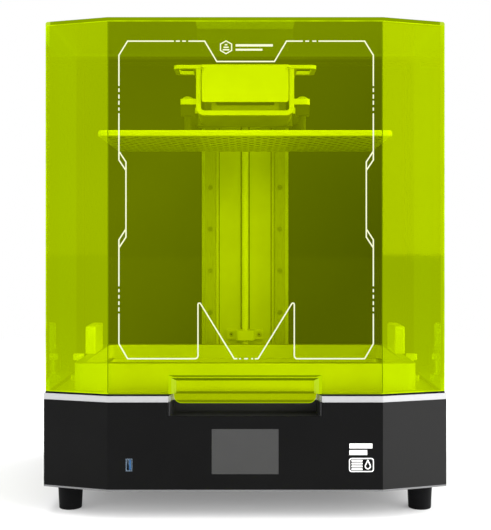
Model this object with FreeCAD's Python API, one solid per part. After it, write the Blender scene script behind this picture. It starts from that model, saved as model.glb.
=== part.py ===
"""Large-format resin printer: base, vat, Z axis, build plate and flip-up hood.

Millimetres. X to the right, Y to the back, Z up. Origin: centre of the footprint, on the floor.
"""
import FreeCAD
import Part
import math
import os

V = FreeCAD.Vector
X_AXIS = V(1, 0, 0)
Y_AXIS = V(0, 1, 0)
Z_AXIS = V(0, 0, 1)

# ---- overall ----
WIDTH = 475.0
DEPTH = 400.0
HALF_W = WIDTH / 2
FRONT = -DEPTH / 2
REAR = DEPTH / 2
FRONT_FACE_HALF = 159.0      # half width of the flat front face
CHAMFER_DEPTH = 26.0         # how far the corner facets run back
SHEET = 2.0                  # sheet metal thickness

# ---- heights ----
Z_PLATE = 31.0               # underside of the bottom plate
Z_BASE = 33.0                # bottom edge of the base shell
Z_DECK_LOW = 133.8
Z_DECK = 141.0               # top of the deck plate
Z_LID_LOW = 143.4
Z_LID_WALL_TOP = 574.3
Z_TOP = 578.3

# ---- hood ----
ACRYLIC = 4.0
LID_HALF_W = 235.3
LID_REAR = 15.5
GASKET_TOP = 143.3
GASKET_W = 6.0
LIP_CUT_HALF = 88.7          # half width of the cut-out that the formed lip fills
LIP_CUT_TOP = 165.3
LIP_HALF = 82.7
LIP_SET_BACK = 8.0
LIP_LOW = 131.8

# ---- finger notch ----
NOTCH_HALF = 89.0
NOTCH_REAR_HALF = 84.4
NOTCH_DEPTH = 20.0
POCKET_DEPTH = 36.0
POCKET_FLOOR = 117.5
LINER = 1.5

# ---- front fittings ----
SCREEN_W = 77.0
SCREEN_H = 52.0
SCREEN_Z = 77.0
SCREEN_GAP = 0.2
USB_X = -134.0
USB_Z = 61.5
USB_W = 7.5
USB_H = 14.5

# ---- light engine ----
ENGINE_HALF_W = 168.0
ENGINE_HALF_D = 96.0
ENGINE_LOW = 64.0
LENS_HALF_W = 150.0
LENS_HALF_D = 80.0
LENS_LOW = 80.0
LENS_T = 4.0
LENS_PITCH = 50.0
LENS_R = 30.0
SINK_HALF_W = 90.0
SINK_HALF_D = 60.0
SINK_T = 6.0
FIN_LOW = 36.0
FIN_PITCH = 10.1
FIN_HALF_T = 0.8
FIN_COUNT = 18
LCD_HALF_W = 170.5
LCD_HALF_D = 97.5
LCD_LOW = 138.0
GLASS_LOW = 139.6
GLASS_TOP = 141.6

# ---- power supply and main board ----
PSU_X0 = 112.0
PSU_X1 = 222.0
PSU_Y0 = 45.0
PSU_Y1 = 150.0
PSU_TOP = 72.0
BOARD_X0 = -220.0
BOARD_X1 = -95.0
BOARD_Y0 = 60.0
BOARD_Y1 = 180.0
BOARD_LOW = 45.0
BOARD_T = 1.6

# ---- rear fittings ----
INLET_X = 180.0
SWITCH_X = 140.0
REAR_FITTING_Z = 62.0
FAN_SIZE = 80.0
FAN_Z = 82.0
FAN_Y = 172.0
FAN_DEPTH = 25.0
FAN_BORE_R = 38.0
ROTOR_R = 36.5
ROCKER_TILT = 8.0
ROCKER_PIVOT = 6.0           # pivot's depth behind the rear face

# ---- rear housing and column ----
HOUSING_FRONT = 17.0
WALL_Y = 100.0               # front of the inner back wall
COLUMN_W = 126.0
COLUMN_Y = 96.0
COLUMN_DEPTH = 60.0
COLUMN_TOP = 570.0
RAIL_X = 50.0
RAIL_SIZE = 15.0
RAIL_LOW = 152.0
RAIL_TOP = 550.0
RAIL_PITCH = 60.0
RAIL_FIRST = 7.0             # first screw above the rail's lower end
RAIL_GROOVE_R = 1.8
SCREW_Y = 82.0
SCREW_R = 5.0
JOURNAL_R = 4.0
JOURNAL_LOW = 159.0          # bottom end of the screw, inside the coupler
RUN = 0.05                   # radial running clearance
BEARING_R = 11.0
LOWER_BLOCK_Z = 180.0
UPPER_BLOCK_Z = 552.0
BLOCK_H = 14.0
BLOCK_HALF = 13.0
BLOCK_REACH = 13.5           # from the screw's axis to the block's front
WING_HALF = 26.0
WING_T = 9.0
WING_HOLE_X = 20.0
WING_HOLE_R = 3.6
MOTOR_W = 57.0
MOTOR_H = 76.0
MOTOR_END_T = 14.0           # the motor's lower end bell
MOTOR_WAIST = 1.2
PILOT_R = 15.5
MOTOR_SHAFT_R = 4.0
MOTOR_SHAFT_TOP = 158.0
COUPLER_R = 12.0
COUPLER_LOW = 145.0
COUPLER_TOP = 172.0
COUPLER_MID = 158.5
SWITCH_SIZE = 8.0            # homing sensor
SWITCH_LEFT = -64.5
SWITCH_LOW = 552.0

# ---- carriage, arm and bracket (at the top of the stroke) ----
CARRIAGE_W = 34.0
CARRIAGE_L = 61.4
CARRIAGE_FRONT = 68.0
CARRIAGE_Z = 485.0
PLATE_T = 12.0
PLATE_HALF = 68.0
PLATE_LOW = 484.0
PLATE_TOP = 548.0
FLAG_X = -61.0               # homing flag
FLAG_TOP = 557.0
NUT_HALF = 22.0
NUT_LOW = 512.0
NUT_TOP = 537.0
NUT_R = 12.0
NUT_NOSE_LOW = 500.0
ARM_HALF = 42.0
ARM_LOW = 483.0
ARM_HIGH = 529.0
VAT_Y = -54.5                # centre of vat, plate and bracket
BRACKET_HALF = 61.0
BRACKET_T = 6.0
BRACKET_LOW = 477.0
BRACKET_TOP = 535.0
BRACKET_HALF_D = 56.0
CAP_T = 4.5
CAP_LIP_T = 4.0
CAP_RELIEF_R = 3.5
LOOP_REACH = 89.0
LOOP_LEN = 50.0
LOOP_BAR = 7.0
NUT_HEX_R = 7.5              # levelling nuts, across the corners / 2
NUT_HEX_H = 4.6
NUT_DOME_R = 9.5
CAP_HALF = 65.0
CAP_LIP_HALF = 54.0
CAP_LIP_LOW = 493.0
FLANGE_HALF = 81.0
FLANGE_LOW = 491.0
FLANGE_T = 7.0
POST_X = 72.0
POST_Y = 42.0                # from the bracket's centre
POST_R = 4.25

# ---- build plate ----
BP_W = 356.0
BP_D = 195.0
BP_LOW = 446.3
BP_HIGH = 453.8
HOLE_R = 3.5
HOLE_PITCH = 16.5
ROW_PITCH = 14.3

# ---- vat ----
VAT_W = 406.0
VAT_D = 237.0
VAT_TOP = 175.7
VAT_WALL = 12.5
LEDGE_TOP = 157.0
LEDGE_LOW = 146.0
FILM_WINDOW_W = 366.0
FILM_WINDOW_D = 204.0
FILM_Z = 142.0
FILM_T = 0.2
THUMB_X = 214.5
THUMB_Y = -66.0
THUMB_R = 2.5
KNOB_R = 7.0
LUG_TOP = 149.0
GRIP_X0 = 193.0
GRIP_X1 = 206.0
GRIP_LEN = 69.0
GRIP_TOP = 211.0

# ---- lid hinges ----
HINGE_Y = 16.25
HINGE_Z = 581.0
HINGE_X = 200.0
HINGE_LEN = 40.0
KNUCKLE_R = 2.5
PIN_R = 1.25
LEAF_T = 1.5


# ---------------------------------------------------------------- helpers
def box(x0, x1, y0, y1, z0, z1):
    """A block between two corners."""
    return Part.makeBox(x1 - x0, y1 - y0, z1 - z0, V(x0, y0, z0))


def cyl_z(x, y, z0, z1, r):
    return Part.makeCylinder(r, z1 - z0, V(x, y, z0), Z_AXIS)


def cyl_y(x, z, y0, y1, r):
    return Part.makeCylinder(r, y1 - y0, V(x, y0, z), Y_AXIS)


def cyl_x(y, z, x0, x1, r):
    return Part.makeCylinder(r, x1 - x0, V(x0, y, z), X_AXIS)


def prism(points, z0, z1):
    """A plan outline [(x, y), ...] raised from z0 to z1."""
    ring = [V(x, y, z0) for x, y in points]
    wire = Part.makePolygon(ring + [ring[0]])
    return Part.Face(wire).extrude(V(0, 0, z1 - z0))


def mirrored(shape):
    """The same piece on the other side of the machine."""
    return shape.mirror(V(0, 0, 0), X_AXIS)


def pair(shape):
    return Part.makeCompound([shape, mirrored(shape)])


def fillet_along(shape, axis, radius, keep=None):
    """Rounds the straight edges that run along an axis, all or those that keep() picks."""
    picked = []
    for edge in shape.Edges:
        if edge.Curve.TypeId != "Part::GeomLine":
            continue
        if abs(edge.tangentAt(edge.FirstParameter).dot(axis)) < 0.999:
            continue
        if keep is None or keep(edge.CenterOfMass):
            picked.append(edge)
    return shape.makeFillet(radius, picked)


def plan(inset=0.0, rear=REAR, half=HALF_W):
    """The chamfered footprint as points, from rear left round the front to rear right."""
    run = HALF_W - FRONT_FACE_HALF
    slope = CHAMFER_DEPTH / run
    shift = inset * (math.sqrt(1 + slope * slope) - 1) / slope
    front_x = FRONT_FACE_HALF - shift
    side_x = half - inset
    side_y = FRONT + inset + (side_x - front_x) * slope
    right = [(front_x, FRONT + inset), (side_x, side_y), (side_x, rear)]
    left = [(-x, y) for x, y in reversed(right)]
    return left + right


def lid_plan(inset=0.0):
    return plan(inset, LID_REAR, LID_HALF_W)


def notch(extra=0.0, z0=Z_DECK_LOW, z1=Z_DECK):
    """The finger notch cut in the deck's front edge."""
    y = FRONT - 1
    depth = FRONT + NOTCH_DEPTH + extra
    front = NOTCH_HALF + extra
    back = NOTCH_REAR_HALF + extra
    return prism([(-front, y), (front, y), (back, depth), (-back, depth)], z0, z1)


# ---------------------------------------------------------------- base
def bottom_plate():
    plate = prism(plan(), Z_PLATE, Z_BASE)
    for x, y in foot_places():
        plate = plate.cut(cyl_z(x, y, Z_PLATE - 1, Z_BASE + 1, 2.5))
    for i in range(-6, 7):
        slot = box(i * 18.0 - 3, i * 18.0 + 3, -40, 40, Z_PLATE - 1, Z_BASE + 1)
        plate = plate.cut(slot)
    return plate


def base_shell():
    shell = prism(plan(), Z_BASE, Z_DECK_LOW)
    inner = plan(SHEET, REAR - SHEET)
    shell = shell.cut(prism(inner, Z_BASE - 1, Z_DECK_LOW + 1))
    cutters = [
        box(-NOTCH_HALF, NOTCH_HALF, FRONT - 1, FRONT + SHEET + 1, POCKET_FLOOR, Z_DECK_LOW + 1),
        screen_block(SCREEN_GAP, FRONT - 1, FRONT + SHEET + 1),
        box(USB_X - USB_W / 2, USB_X + USB_W / 2, FRONT - 1, FRONT + SHEET + 1,
            USB_Z - USB_H / 2, USB_Z + USB_H / 2),
        box(INLET_X - 13.5, INLET_X + 13.5, REAR - 3, REAR + 1,
            REAR_FITTING_Z - 10, REAR_FITTING_Z + 10),
        box(SWITCH_X - 7, SWITCH_X + 7, REAR - 3, REAR + 1,
            REAR_FITTING_Z - 10, REAR_FITTING_Z + 10),
    ]
    for i in range(-4, 5):
        z = FAN_Z + i * 8.0
        half = math.sqrt(FAN_BORE_R ** 2 - (i * 8.0) ** 2)
        cutters.append(box(-half, half, REAR - 3, REAR + 1, z - 2, z + 2))
    for side in (-1, 1):
        for i in range(9):
            y = -60 + i * 14.0
            x = side * HALF_W
            cutters.append(box(x - 3, x + 3, y, y + 6, 58, 98))
    return shell.cut(Part.makeCompound(cutters))


def deck_plate():
    deck = prism(plan(), Z_DECK_LOW, Z_DECK)
    window_w = 332.0
    window_d = 188.0
    half_w = window_w / 2
    half_d = window_d / 2
    deck = deck.cut(notch(0.0, Z_DECK_LOW - 1, Z_DECK + 1))
    deck = deck.cut(box(-half_w, half_w, VAT_Y - half_d, VAT_Y + half_d, Z_DECK_LOW - 1, Z_DECK + 1))
    step_w = half_w + 5
    step_d = half_d + 4
    deck = deck.cut(box(-step_w, step_w, VAT_Y - step_d, VAT_Y + step_d, 138.0, Z_DECK + 1))
    deck = deck.cut(cyl_z(0, SCREW_Y, Z_DECK_LOW - 1, Z_DECK + 1, 16))
    for side in (-1, 1):
        deck = deck.cut(cyl_z(side * THUMB_X, THUMB_Y, Z_DECK_LOW - 1, Z_DECK + 1, THUMB_R + RUN))
    return deck.fuse([locating_rib(), mirrored(locating_rib())]).removeSplitter()


def locating_rib():
    """A low rib inside the right corner facet that centres the closed hood."""
    outer = lid_plan(ACRYLIC + 4.0)
    inner = lid_plan(ACRYLIC + 6.5)
    outer_run = [outer[3], outer[4]]
    inner_run = [inner[4], inner[3]]
    rib = prism(outer_run + inner_run, Z_DECK, Z_DECK + 3.5)
    return rib.common(box(164, 212, FRONT, 0, Z_DECK - 1, Z_DECK + 10))


def notch_liner():
    """The black pocket behind the finger notch."""
    front = FRONT + SHEET
    back = FRONT + POCKET_DEPTH
    half = NOTCH_HALF - 0.5
    outer = box(-half, half, front, back + LINER, POCKET_FLOOR - LINER, Z_DECK_LOW)
    y0 = front - 1
    cavity_front = half - LINER
    points = [(-cavity_front, y0), (cavity_front, y0), (NOTCH_REAR_HALF, FRONT + NOTCH_DEPTH),
              (NOTCH_REAR_HALF, back), (-NOTCH_REAR_HALF, back),
              (-NOTCH_REAR_HALF, FRONT + NOTCH_DEPTH)]
    return outer.cut(prism(points, POCKET_FLOOR, Z_DECK_LOW + 1))


def foot_places():
    return [(x, y) for x in (-210.0, 210.0) for y in (-150.0, 165.0)]


def rubber_feet():
    feet = []
    for x, y in foot_places():
        cone = Part.makeCone(13.5, 15.0, Z_PLATE, V(x, y, 0), Z_AXIS)
        foot = cone.makeFillet(1.2, [e for e in cone.Edges if e.CenterOfMass.z < 0.5])
        foot = foot.cut(cyl_z(x, y, 4, Z_PLATE + 1, 2.5))
        foot = foot.cut(cyl_z(x, y, -1, 12, 5.5))
        feet.append(foot)
    return Part.makeCompound(feet)


def foot_screws():
    screws = []
    for x, y in foot_places():
        shank = cyl_z(x, y, 8, 42, 2.5)
        head = cyl_z(x, y, 8, 12, 4.8)
        nut = cyl_z(x, y, Z_BASE, Z_BASE + 4, 4.5)
        screws.append(shank.fuse([head, nut]).removeSplitter())
    return Part.makeCompound(screws)


def screen_block(grow, y0, y1):
    half_w = SCREEN_W / 2 + grow
    half_h = SCREEN_H / 2 + grow
    return box(-half_w, half_w, y0, y1, SCREEN_Z - half_h, SCREEN_Z + half_h)


def screen_glass():
    return screen_block(0.0, FRONT, FRONT + SHEET)


def screen_module():
    body = screen_block(5.0, FRONT + SHEET, FRONT + SHEET + 8)
    board = screen_block(2.0, FRONT + SHEET + 8, FRONT + SHEET + 10)
    return body.fuse(board).removeSplitter()


def usb_shell():
    depth = 18.0
    outer = box(USB_X - USB_W / 2, USB_X + USB_W / 2, FRONT + 0.4, FRONT + depth,
                USB_Z - USB_H / 2, USB_Z + USB_H / 2)
    wall = 0.7
    inner = box(USB_X - USB_W / 2 + wall, USB_X + USB_W / 2 - wall, FRONT - 1, FRONT + depth - 2,
                USB_Z - USB_H / 2 + wall, USB_Z + USB_H / 2 - wall)
    return outer.cut(inner)


def usb_tongue():
    half = USB_H / 2 - 1.6
    return box(USB_X + 0.2, USB_X + 2.2, FRONT + 1.2, FRONT + 16, USB_Z - half, USB_Z + half)


def power_inlet():
    """A three-pin appliance inlet in the rear wall."""
    z = REAR_FITTING_Z
    body = box(INLET_X - 13.5, INLET_X + 13.5, REAR - 26, REAR, z - 10, z + 10)
    well = box(INLET_X - 11.5, INLET_X + 11.5, REAR - 16, REAR + 1, z - 8, z + 8)
    inlet = body.cut(well)
    for dx, dz in ((-6.0, -1.5), (0.0, 2.5), (6.0, -1.5)):
        x = INLET_X + dx
        inlet = inlet.fuse(box(x - 1, x + 1, REAR - 17, REAR - 4, z + dz - 2, z + dz + 2))
    return inlet.removeSplitter()


def switch_bezel():
    z = REAR_FITTING_Z
    body = box(SWITCH_X - 7, SWITCH_X + 7, REAR - 16, REAR, z - 10, z + 10)
    body = body.cut(box(SWITCH_X - 5.5, SWITCH_X + 5.5, REAR - 13, REAR + 1, z - 8.5, z + 8.5))
    return body.cut(cyl_x(REAR - ROCKER_PIVOT, z, SWITCH_X - 6.5, SWITCH_X + 6.5, 1 + RUN))


def switch_rocker():
    """A rocker resting in its off position, tilted about the pivot."""
    z = REAR_FITTING_Z
    half = 7.2
    face = REAR - 1.4
    points = [(REAR - 8, -3), (face - 1.5, -half), (face, -half), (face - 1.2, 0),
              (face, half), (face - 1.5, half), (REAR - 8, 3)]
    ring = [V(SWITCH_X - 5.2, y, z + dz) for y, dz in points]
    body = Part.Face(Part.makePolygon(ring + [ring[0]])).extrude(V(10.4, 0, 0))
    body.rotate(V(SWITCH_X, REAR - ROCKER_PIVOT, z), X_AXIS, ROCKER_TILT)
    pivot = cyl_x(REAR - ROCKER_PIVOT, z, SWITCH_X - 6.3, SWITCH_X + 6.3, 1)
    return body.fuse(pivot).removeSplitter()


# ---------------------------------------------------------------- inside the base
def light_engine_housing():
    w = ENGINE_HALF_W
    d = ENGINE_HALF_D
    case = box(-w, w, VAT_Y - d, VAT_Y + d, ENGINE_LOW, Z_DECK_LOW)
    w -= SHEET
    d -= SHEET
    return case.cut(box(-w, w, VAT_Y - d, VAT_Y + d, ENGINE_LOW + SHEET, Z_DECK_LOW + 1))


def lens_array():
    """A plate of plano-convex lenses over the lamps."""
    top = LENS_LOW + LENS_T
    plate = box(-LENS_HALF_W, LENS_HALF_W, VAT_Y - LENS_HALF_D, VAT_Y + LENS_HALF_D, LENS_LOW, top)
    half = LENS_PITCH / 2
    lenses = []
    for i in range(6):
        for j in range(3):
            x = LENS_PITCH * (i - 2.5)
            y = VAT_Y + LENS_PITCH * (j - 1)
            dome = Part.makeSphere(LENS_R, V(x, y, ENGINE_LOW))
            lenses.append(dome.common(box(x - half, x + half, y - half, y + half, top - 1, 100)))
    return plate.fuse(lenses).removeSplitter()


def heat_sink():
    front = VAT_Y - SINK_HALF_D
    back = VAT_Y + SINK_HALF_D
    low = ENGINE_LOW - SINK_T
    base = box(-SINK_HALF_W, SINK_HALF_W, front, back, low, ENGINE_LOW)
    fins = []
    for i in range(FIN_COUNT):
        x = -SINK_HALF_W + 4 + i * FIN_PITCH
        fins.append(box(x - FIN_HALF_T, x + FIN_HALF_T, front, back, FIN_LOW, low + 1))
    return base.fuse(fins).removeSplitter()


def fan_frame():
    half = FAN_SIZE / 2
    frame = box(-half, half, FAN_Y, FAN_Y + FAN_DEPTH, FAN_Z - half, FAN_Z + half)
    frame = fillet_along(frame, Y_AXIS, 4)
    frame = frame.cut(cyl_y(0, FAN_Z, FAN_Y - 1, FAN_Y + FAN_DEPTH + 1, FAN_BORE_R))
    strut = box(-2, 2, FAN_Y, FAN_Y + 3, FAN_Z - FAN_BORE_R - 1, FAN_Z + FAN_BORE_R + 1)
    turned = strut.copy()
    turned.rotate(V(0, FAN_Y, FAN_Z), Y_AXIS, 90)
    hub = cyl_y(0, FAN_Z, FAN_Y, FAN_Y + 3, 16)
    frame = frame.fuse([strut, turned, hub]).removeSplitter()
    return frame.cut(cyl_y(0, FAN_Z, FAN_Y - 1, FAN_Y + 4, 1.5 + RUN))


def fan_rotor():
    hub = cyl_y(0, FAN_Z, FAN_Y + 4, FAN_Y + 22, 15)
    shaft = cyl_y(0, FAN_Z, FAN_Y + 0.5, FAN_Y + 5, 1.5)
    blades = []
    for i in range(7):
        blade = box(-0.8, 0.8, FAN_Y + 5, FAN_Y + 21, FAN_Z + 14, FAN_Z + ROTOR_R)
        blade.rotate(V(0, FAN_Y + 13, FAN_Z + 20), Z_AXIS, 38)
        blade.rotate(V(0, FAN_Y, FAN_Z), Y_AXIS, i * 360.0 / 7)
        blades.append(blade)
    return hub.fuse([shaft] + blades).removeSplitter()


def power_supply():
    case = box(PSU_X0, PSU_X1, PSU_Y0, PSU_Y1, Z_BASE, PSU_TOP)
    slots = []
    for i in range(8):
        x = PSU_X0 + 8 + i * 12
        slots.append(box(x, x + 6, PSU_Y0 + 12, PSU_Y1 - 15, PSU_TOP - 2, PSU_TOP + 1))
    return case.cut(Part.makeCompound(slots))


def main_board():
    board = box(BOARD_X0, BOARD_X1, BOARD_Y0, BOARD_Y1, BOARD_LOW, BOARD_LOW + BOARD_T)
    legs = [cyl_z(x, y, Z_BASE, BOARD_LOW + 0.5, 3)
            for x in (BOARD_X0 + 6, BOARD_X1 - 6) for y in (BOARD_Y0 + 6, BOARD_Y1 - 6)]
    low = BOARD_LOW + 1
    chips = [box(-180, -160, 100, 120, low, low + 3), box(-140, -125, 130, 145, low, low + 2.5),
             box(-215, -200, 80, 160, low, low + 10), box(-118, -102, 78, 118, low, low + 8)]
    return board.fuse(legs + chips).removeSplitter()


# ---------------------------------------------------------------- masking screen and vat
def lcd_sheet(z0, z1):
    return box(-LCD_HALF_W, LCD_HALF_W, VAT_Y - LCD_HALF_D, VAT_Y + LCD_HALF_D, z0, z1)


def mask_lcd():
    return lcd_sheet(LCD_LOW, GLASS_LOW)


def lcd_glass():
    return lcd_sheet(GLASS_LOW, GLASS_TOP)


def vat_outer(z0, z1, grow=0.0):
    half_w = VAT_W / 2 + grow
    half_d = VAT_D / 2 + grow
    return box(-half_w, half_w, VAT_Y - half_d, VAT_Y + half_d, z0, z1)


def vat_frame():
    body = fillet_along(vat_outer(Z_DECK, VAT_TOP), Z_AXIS, 12)
    basin = fillet_along(vat_outer(LEDGE_TOP, VAT_TOP + 1, -VAT_WALL), Z_AXIS, 8)
    body = body.cut(basin)
    half_w = FILM_WINDOW_W / 2
    half_d = FILM_WINDOW_D / 2
    window = box(-half_w, half_w, VAT_Y - half_d, VAT_Y + half_d, Z_DECK - 1, LEDGE_TOP + 1)
    body = body.cut(fillet_along(window, Z_AXIS, 6))
    body = body.cut(vat_outer(Z_DECK - 1, LEDGE_LOW, -5.0))
    rim = [e for e in body.Edges if e.BoundBox.ZMin > VAT_TOP - 0.01]
    body = body.makeFillet(1.2, rim)
    lugs = []
    for side in (-1, 1):
        lug = box(200, THUMB_X + 9, THUMB_Y - 10, THUMB_Y + 10, Z_DECK, LUG_TOP)
        lug = fillet_along(lug, Z_AXIS, 5, lambda c: c.x > THUMB_X)
        lug = lug if side > 0 else mirrored(lug)
        lugs.append(lug)
    body = body.fuse(lugs).removeSplitter()
    body = body.cut(vat_outer(Z_DECK - 1, LEDGE_LOW, -5.0))
    holes = [cyl_z(s * THUMB_X, THUMB_Y, Z_DECK - 1, LUG_TOP + 1, THUMB_R + RUN) for s in (-1, 1)]
    pins = film_screw_places()
    holes += [cyl_z(x, y, LEDGE_LOW - 1, LEDGE_LOW + 6, 1.5) for x, y in pins]
    return body.cut(Part.makeCompound(holes))


def film_screw_places():
    """Screws round the film clamp, evenly along each side."""
    half_w = FILM_WINDOW_W / 2 + 7.5
    half_d = FILM_WINDOW_D / 2 + 6.0
    places = []
    for i in range(8):
        x = -161 + 46.0 * i
        places += [(x, VAT_Y - half_d), (x, VAT_Y + half_d)]
    for j in range(4):
        y = VAT_Y - 69 + 46.0 * j
        places += [(-half_w, y), (half_w, y)]
    return places


def film_frame():
    ring = vat_outer(FILM_Z + FILM_T, LEDGE_LOW, -5.5)
    half_w = FILM_WINDOW_W / 2
    half_d = FILM_WINDOW_D / 2
    window = box(-half_w, half_w, VAT_Y - half_d, VAT_Y + half_d, FILM_Z - 1, LEDGE_LOW + 1)
    ring = ring.cut(fillet_along(window, Z_AXIS, 6))
    holes = [cyl_z(x, y, FILM_Z - 1, LEDGE_LOW + 1, 1.5) for x, y in film_screw_places()]
    heads = [cyl_z(x, y, FILM_Z - 1, FILM_Z + 2.2, 2.8) for x, y in film_screw_places()]
    return ring.cut(Part.makeCompound(holes)).cut(Part.makeCompound(heads))


def release_film():
    half_w = FILM_WINDOW_W / 2 + 4
    half_d = FILM_WINDOW_D / 2 + 3
    return box(-half_w, half_w, VAT_Y - half_d, VAT_Y + half_d, FILM_Z, FILM_Z + FILM_T)


def film_screws():
    screws = []
    for x, y in film_screw_places():
        shank = cyl_z(x, y, FILM_Z + 1, LEDGE_LOW + 5, 1.5)
        head = cyl_z(x, y, FILM_Z + 0.5, FILM_Z + 2.2, 2.8)
        screws.append(shank.fuse(head).removeSplitter())
    return Part.makeCompound(screws)


def vat_grips():
    """Upright finger grips on the vat's rim."""
    grip = box(GRIP_X0, GRIP_X1, THUMB_Y, THUMB_Y + GRIP_LEN, VAT_TOP, GRIP_TOP)
    grip = fillet_along(grip, X_AXIS, 5, lambda c: c.z > GRIP_TOP - 1)
    grip = fillet_along(grip, Y_AXIS, 2, lambda c: c.z > GRIP_TOP - 1)
    return pair(grip)


def thumbscrew():
    """A long-necked thumbscrew that clamps a vat lug to the deck."""
    shaft = cyl_z(THUMB_X, THUMB_Y, Z_DECK_LOW + 0.6, 170, THUMB_R)
    collar = cyl_z(THUMB_X, THUMB_Y, LUG_TOP + 0.05, LUG_TOP + 3, 4.5)
    knob = cyl_z(THUMB_X, THUMB_Y, 168, 175.5, KNOB_R)
    flutes = []
    for i in range(12):
        angle = math.radians(30.0 * i)
        x = THUMB_X + (KNOB_R + 0.6) * math.cos(angle)
        y = THUMB_Y + (KNOB_R + 0.6) * math.sin(angle)
        flutes.append(cyl_z(x, y, 167, 177, 1.1))
    knob = knob.cut(Part.makeCompound(flutes))
    return shaft.fuse([collar, knob]).removeSplitter()


# ---------------------------------------------------------------- rear housing and Z axis
def rear_housing():
    """Folded sheet: two side walls and the top cap."""
    half = LID_HALF_W
    outer = box(-half, half, HOUSING_FRONT, REAR, Z_DECK, Z_TOP)
    outer = fillet_along(outer, Y_AXIS, 3.5, lambda c: c.z > Z_TOP - 1)
    inner = box(-half + SHEET, half - SHEET, HOUSING_FRONT - 1, REAR + 1, Z_DECK - 1, Z_TOP - SHEET)
    housing = outer.cut(inner)
    flange = box(half - 14, half - SHEET, HOUSING_FRONT, HOUSING_FRONT + SHEET, Z_DECK, Z_TOP - SHEET)
    header = box(-half + SHEET, half - SHEET, HOUSING_FRONT, HOUSING_FRONT + SHEET,
                 Z_TOP - 12, Z_TOP - SHEET)
    return housing.fuse([flange, mirrored(flange), header]).removeSplitter()


def back_wall():
    half = LID_HALF_W - SHEET
    wall = box(-half, half, WALL_Y, WALL_Y + SHEET, Z_DECK, Z_TOP - SHEET)
    gap = COLUMN_W / 2
    return wall.cut(box(-gap, gap, WALL_Y - 1, WALL_Y + 4, Z_DECK - 1, COLUMN_TOP))


def rear_cover():
    half = LID_HALF_W - SHEET
    cover = box(-half, half, REAR - SHEET, REAR, Z_DECK, Z_TOP - SHEET)
    slots = []
    for i in range(12):
        z = 470 + 7.0 * i
        slots.append(box(-60, 60, REAR - 4, REAR + 1, z, z + 3))
    for x in (-218, 0, 218):
        for z in (160, 360, 555):
            slots.append(cyl_y(x, z, REAR - 4, REAR + 1, 2))
    return cover.cut(Part.makeCompound(slots))


def column():
    """Hollow extrusion on a foot flange; the rails bolt to its front."""
    half = COLUMN_W / 2
    back = COLUMN_Y + COLUMN_DEPTH
    body = box(-half, half, COLUMN_Y, back, Z_DECK, COLUMN_TOP)
    body = fillet_along(body, Z_AXIS, 2)
    for x in (-40, 0, 40):
        body = body.cut(box(x - 15, x + 15, COLUMN_Y + 12, back - 6, Z_DECK - 1, COLUMN_TOP + 1))
    foot = box(-half, half, back - 1, back + 18, Z_DECK, Z_DECK + 10)
    body = body.fuse(foot).removeSplitter()
    drills = [cyl_z(x, back + 9, Z_DECK - 1, Z_DECK + 11, 3) for x in (-45, 0, 45)]
    for x, z in rail_screw_places():
        drills.append(cyl_y(x, z, COLUMN_Y - 1, COLUMN_Y + 10, 2))
    return body.cut(Part.makeCompound(drills))


def rail_screw_places():
    count = int((RAIL_TOP - RAIL_LOW) // RAIL_PITCH) + 1
    return [(s * RAIL_X, RAIL_LOW + RAIL_FIRST + RAIL_PITCH * i) for s in (-1, 1) for i in range(count)]


def linear_rails():
    """Profiled rails with counterbored holes."""
    front = COLUMN_Y - RAIL_SIZE
    rails = []
    for side in (-1, 1):
        x = side * RAIL_X
        half = RAIL_SIZE / 2
        rail = box(x - half, x + half, front, COLUMN_Y, RAIL_LOW, RAIL_TOP)
        for edge_side in (-1, 1):
            groove_x = x + edge_side * half
            rail = rail.cut(cyl_z(groove_x, front + 6, RAIL_LOW - 1, RAIL_TOP + 1, RAIL_GROOVE_R))
        for sx, z in rail_screw_places():
            if sx == x:
                rail = rail.cut(cyl_y(sx, z, front - 1, front + 5.5, 3.8))
                rail = rail.cut(cyl_y(sx, z, front, COLUMN_Y + 1, 2))
        rails.append(rail)
    return Part.makeCompound(rails)


def rail_screws():
    front = COLUMN_Y - RAIL_SIZE
    screws = []
    for x, z in rail_screw_places():
        head = cyl_y(x, z, front + 1.5, front + 5.5, 3.5)
        socket = cyl_y(x, z, front + 1, front + 3.5, 1.7)
        shank = cyl_y(x, z, front + 5, COLUMN_Y + 9, 2)
        screws.append(head.fuse(shank).removeSplitter().cut(socket))
    return Part.makeCompound(screws)


def bearing_block(z):
    body = box(-BLOCK_HALF, BLOCK_HALF, SCREW_Y - BLOCK_REACH, COLUMN_Y, z, z + BLOCK_H)
    body = fillet_along(body, Z_AXIS, 4, lambda c: c.y < SCREW_Y)
    wings = box(-WING_HALF, WING_HALF, COLUMN_Y - WING_T, COLUMN_Y, z, z + BLOCK_H)
    block = body.fuse(wings).removeSplitter()
    block = block.cut(cyl_z(0, SCREW_Y, z - 1, z + BLOCK_H + 1, BEARING_R))
    for x in (-WING_HOLE_X, WING_HOLE_X):
        hole = cyl_y(x, z + BLOCK_H / 2, COLUMN_Y - WING_T - 1, COLUMN_Y - 4, WING_HOLE_R)
        block = block.cut(hole)
    return block


def bearing_blocks():
    return Part.makeCompound([bearing_block(LOWER_BLOCK_Z), bearing_block(UPPER_BLOCK_Z)])


def screw_bearings():
    rings = []
    for z in (LOWER_BLOCK_Z, UPPER_BLOCK_Z):
        ring = cyl_z(0, SCREW_Y, z + 2, z + BLOCK_H - 2, BEARING_R)
        rings.append(ring.cut(cyl_z(0, SCREW_Y, z, z + BLOCK_H, JOURNAL_R + RUN)))
    return Part.makeCompound(rings)


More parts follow.
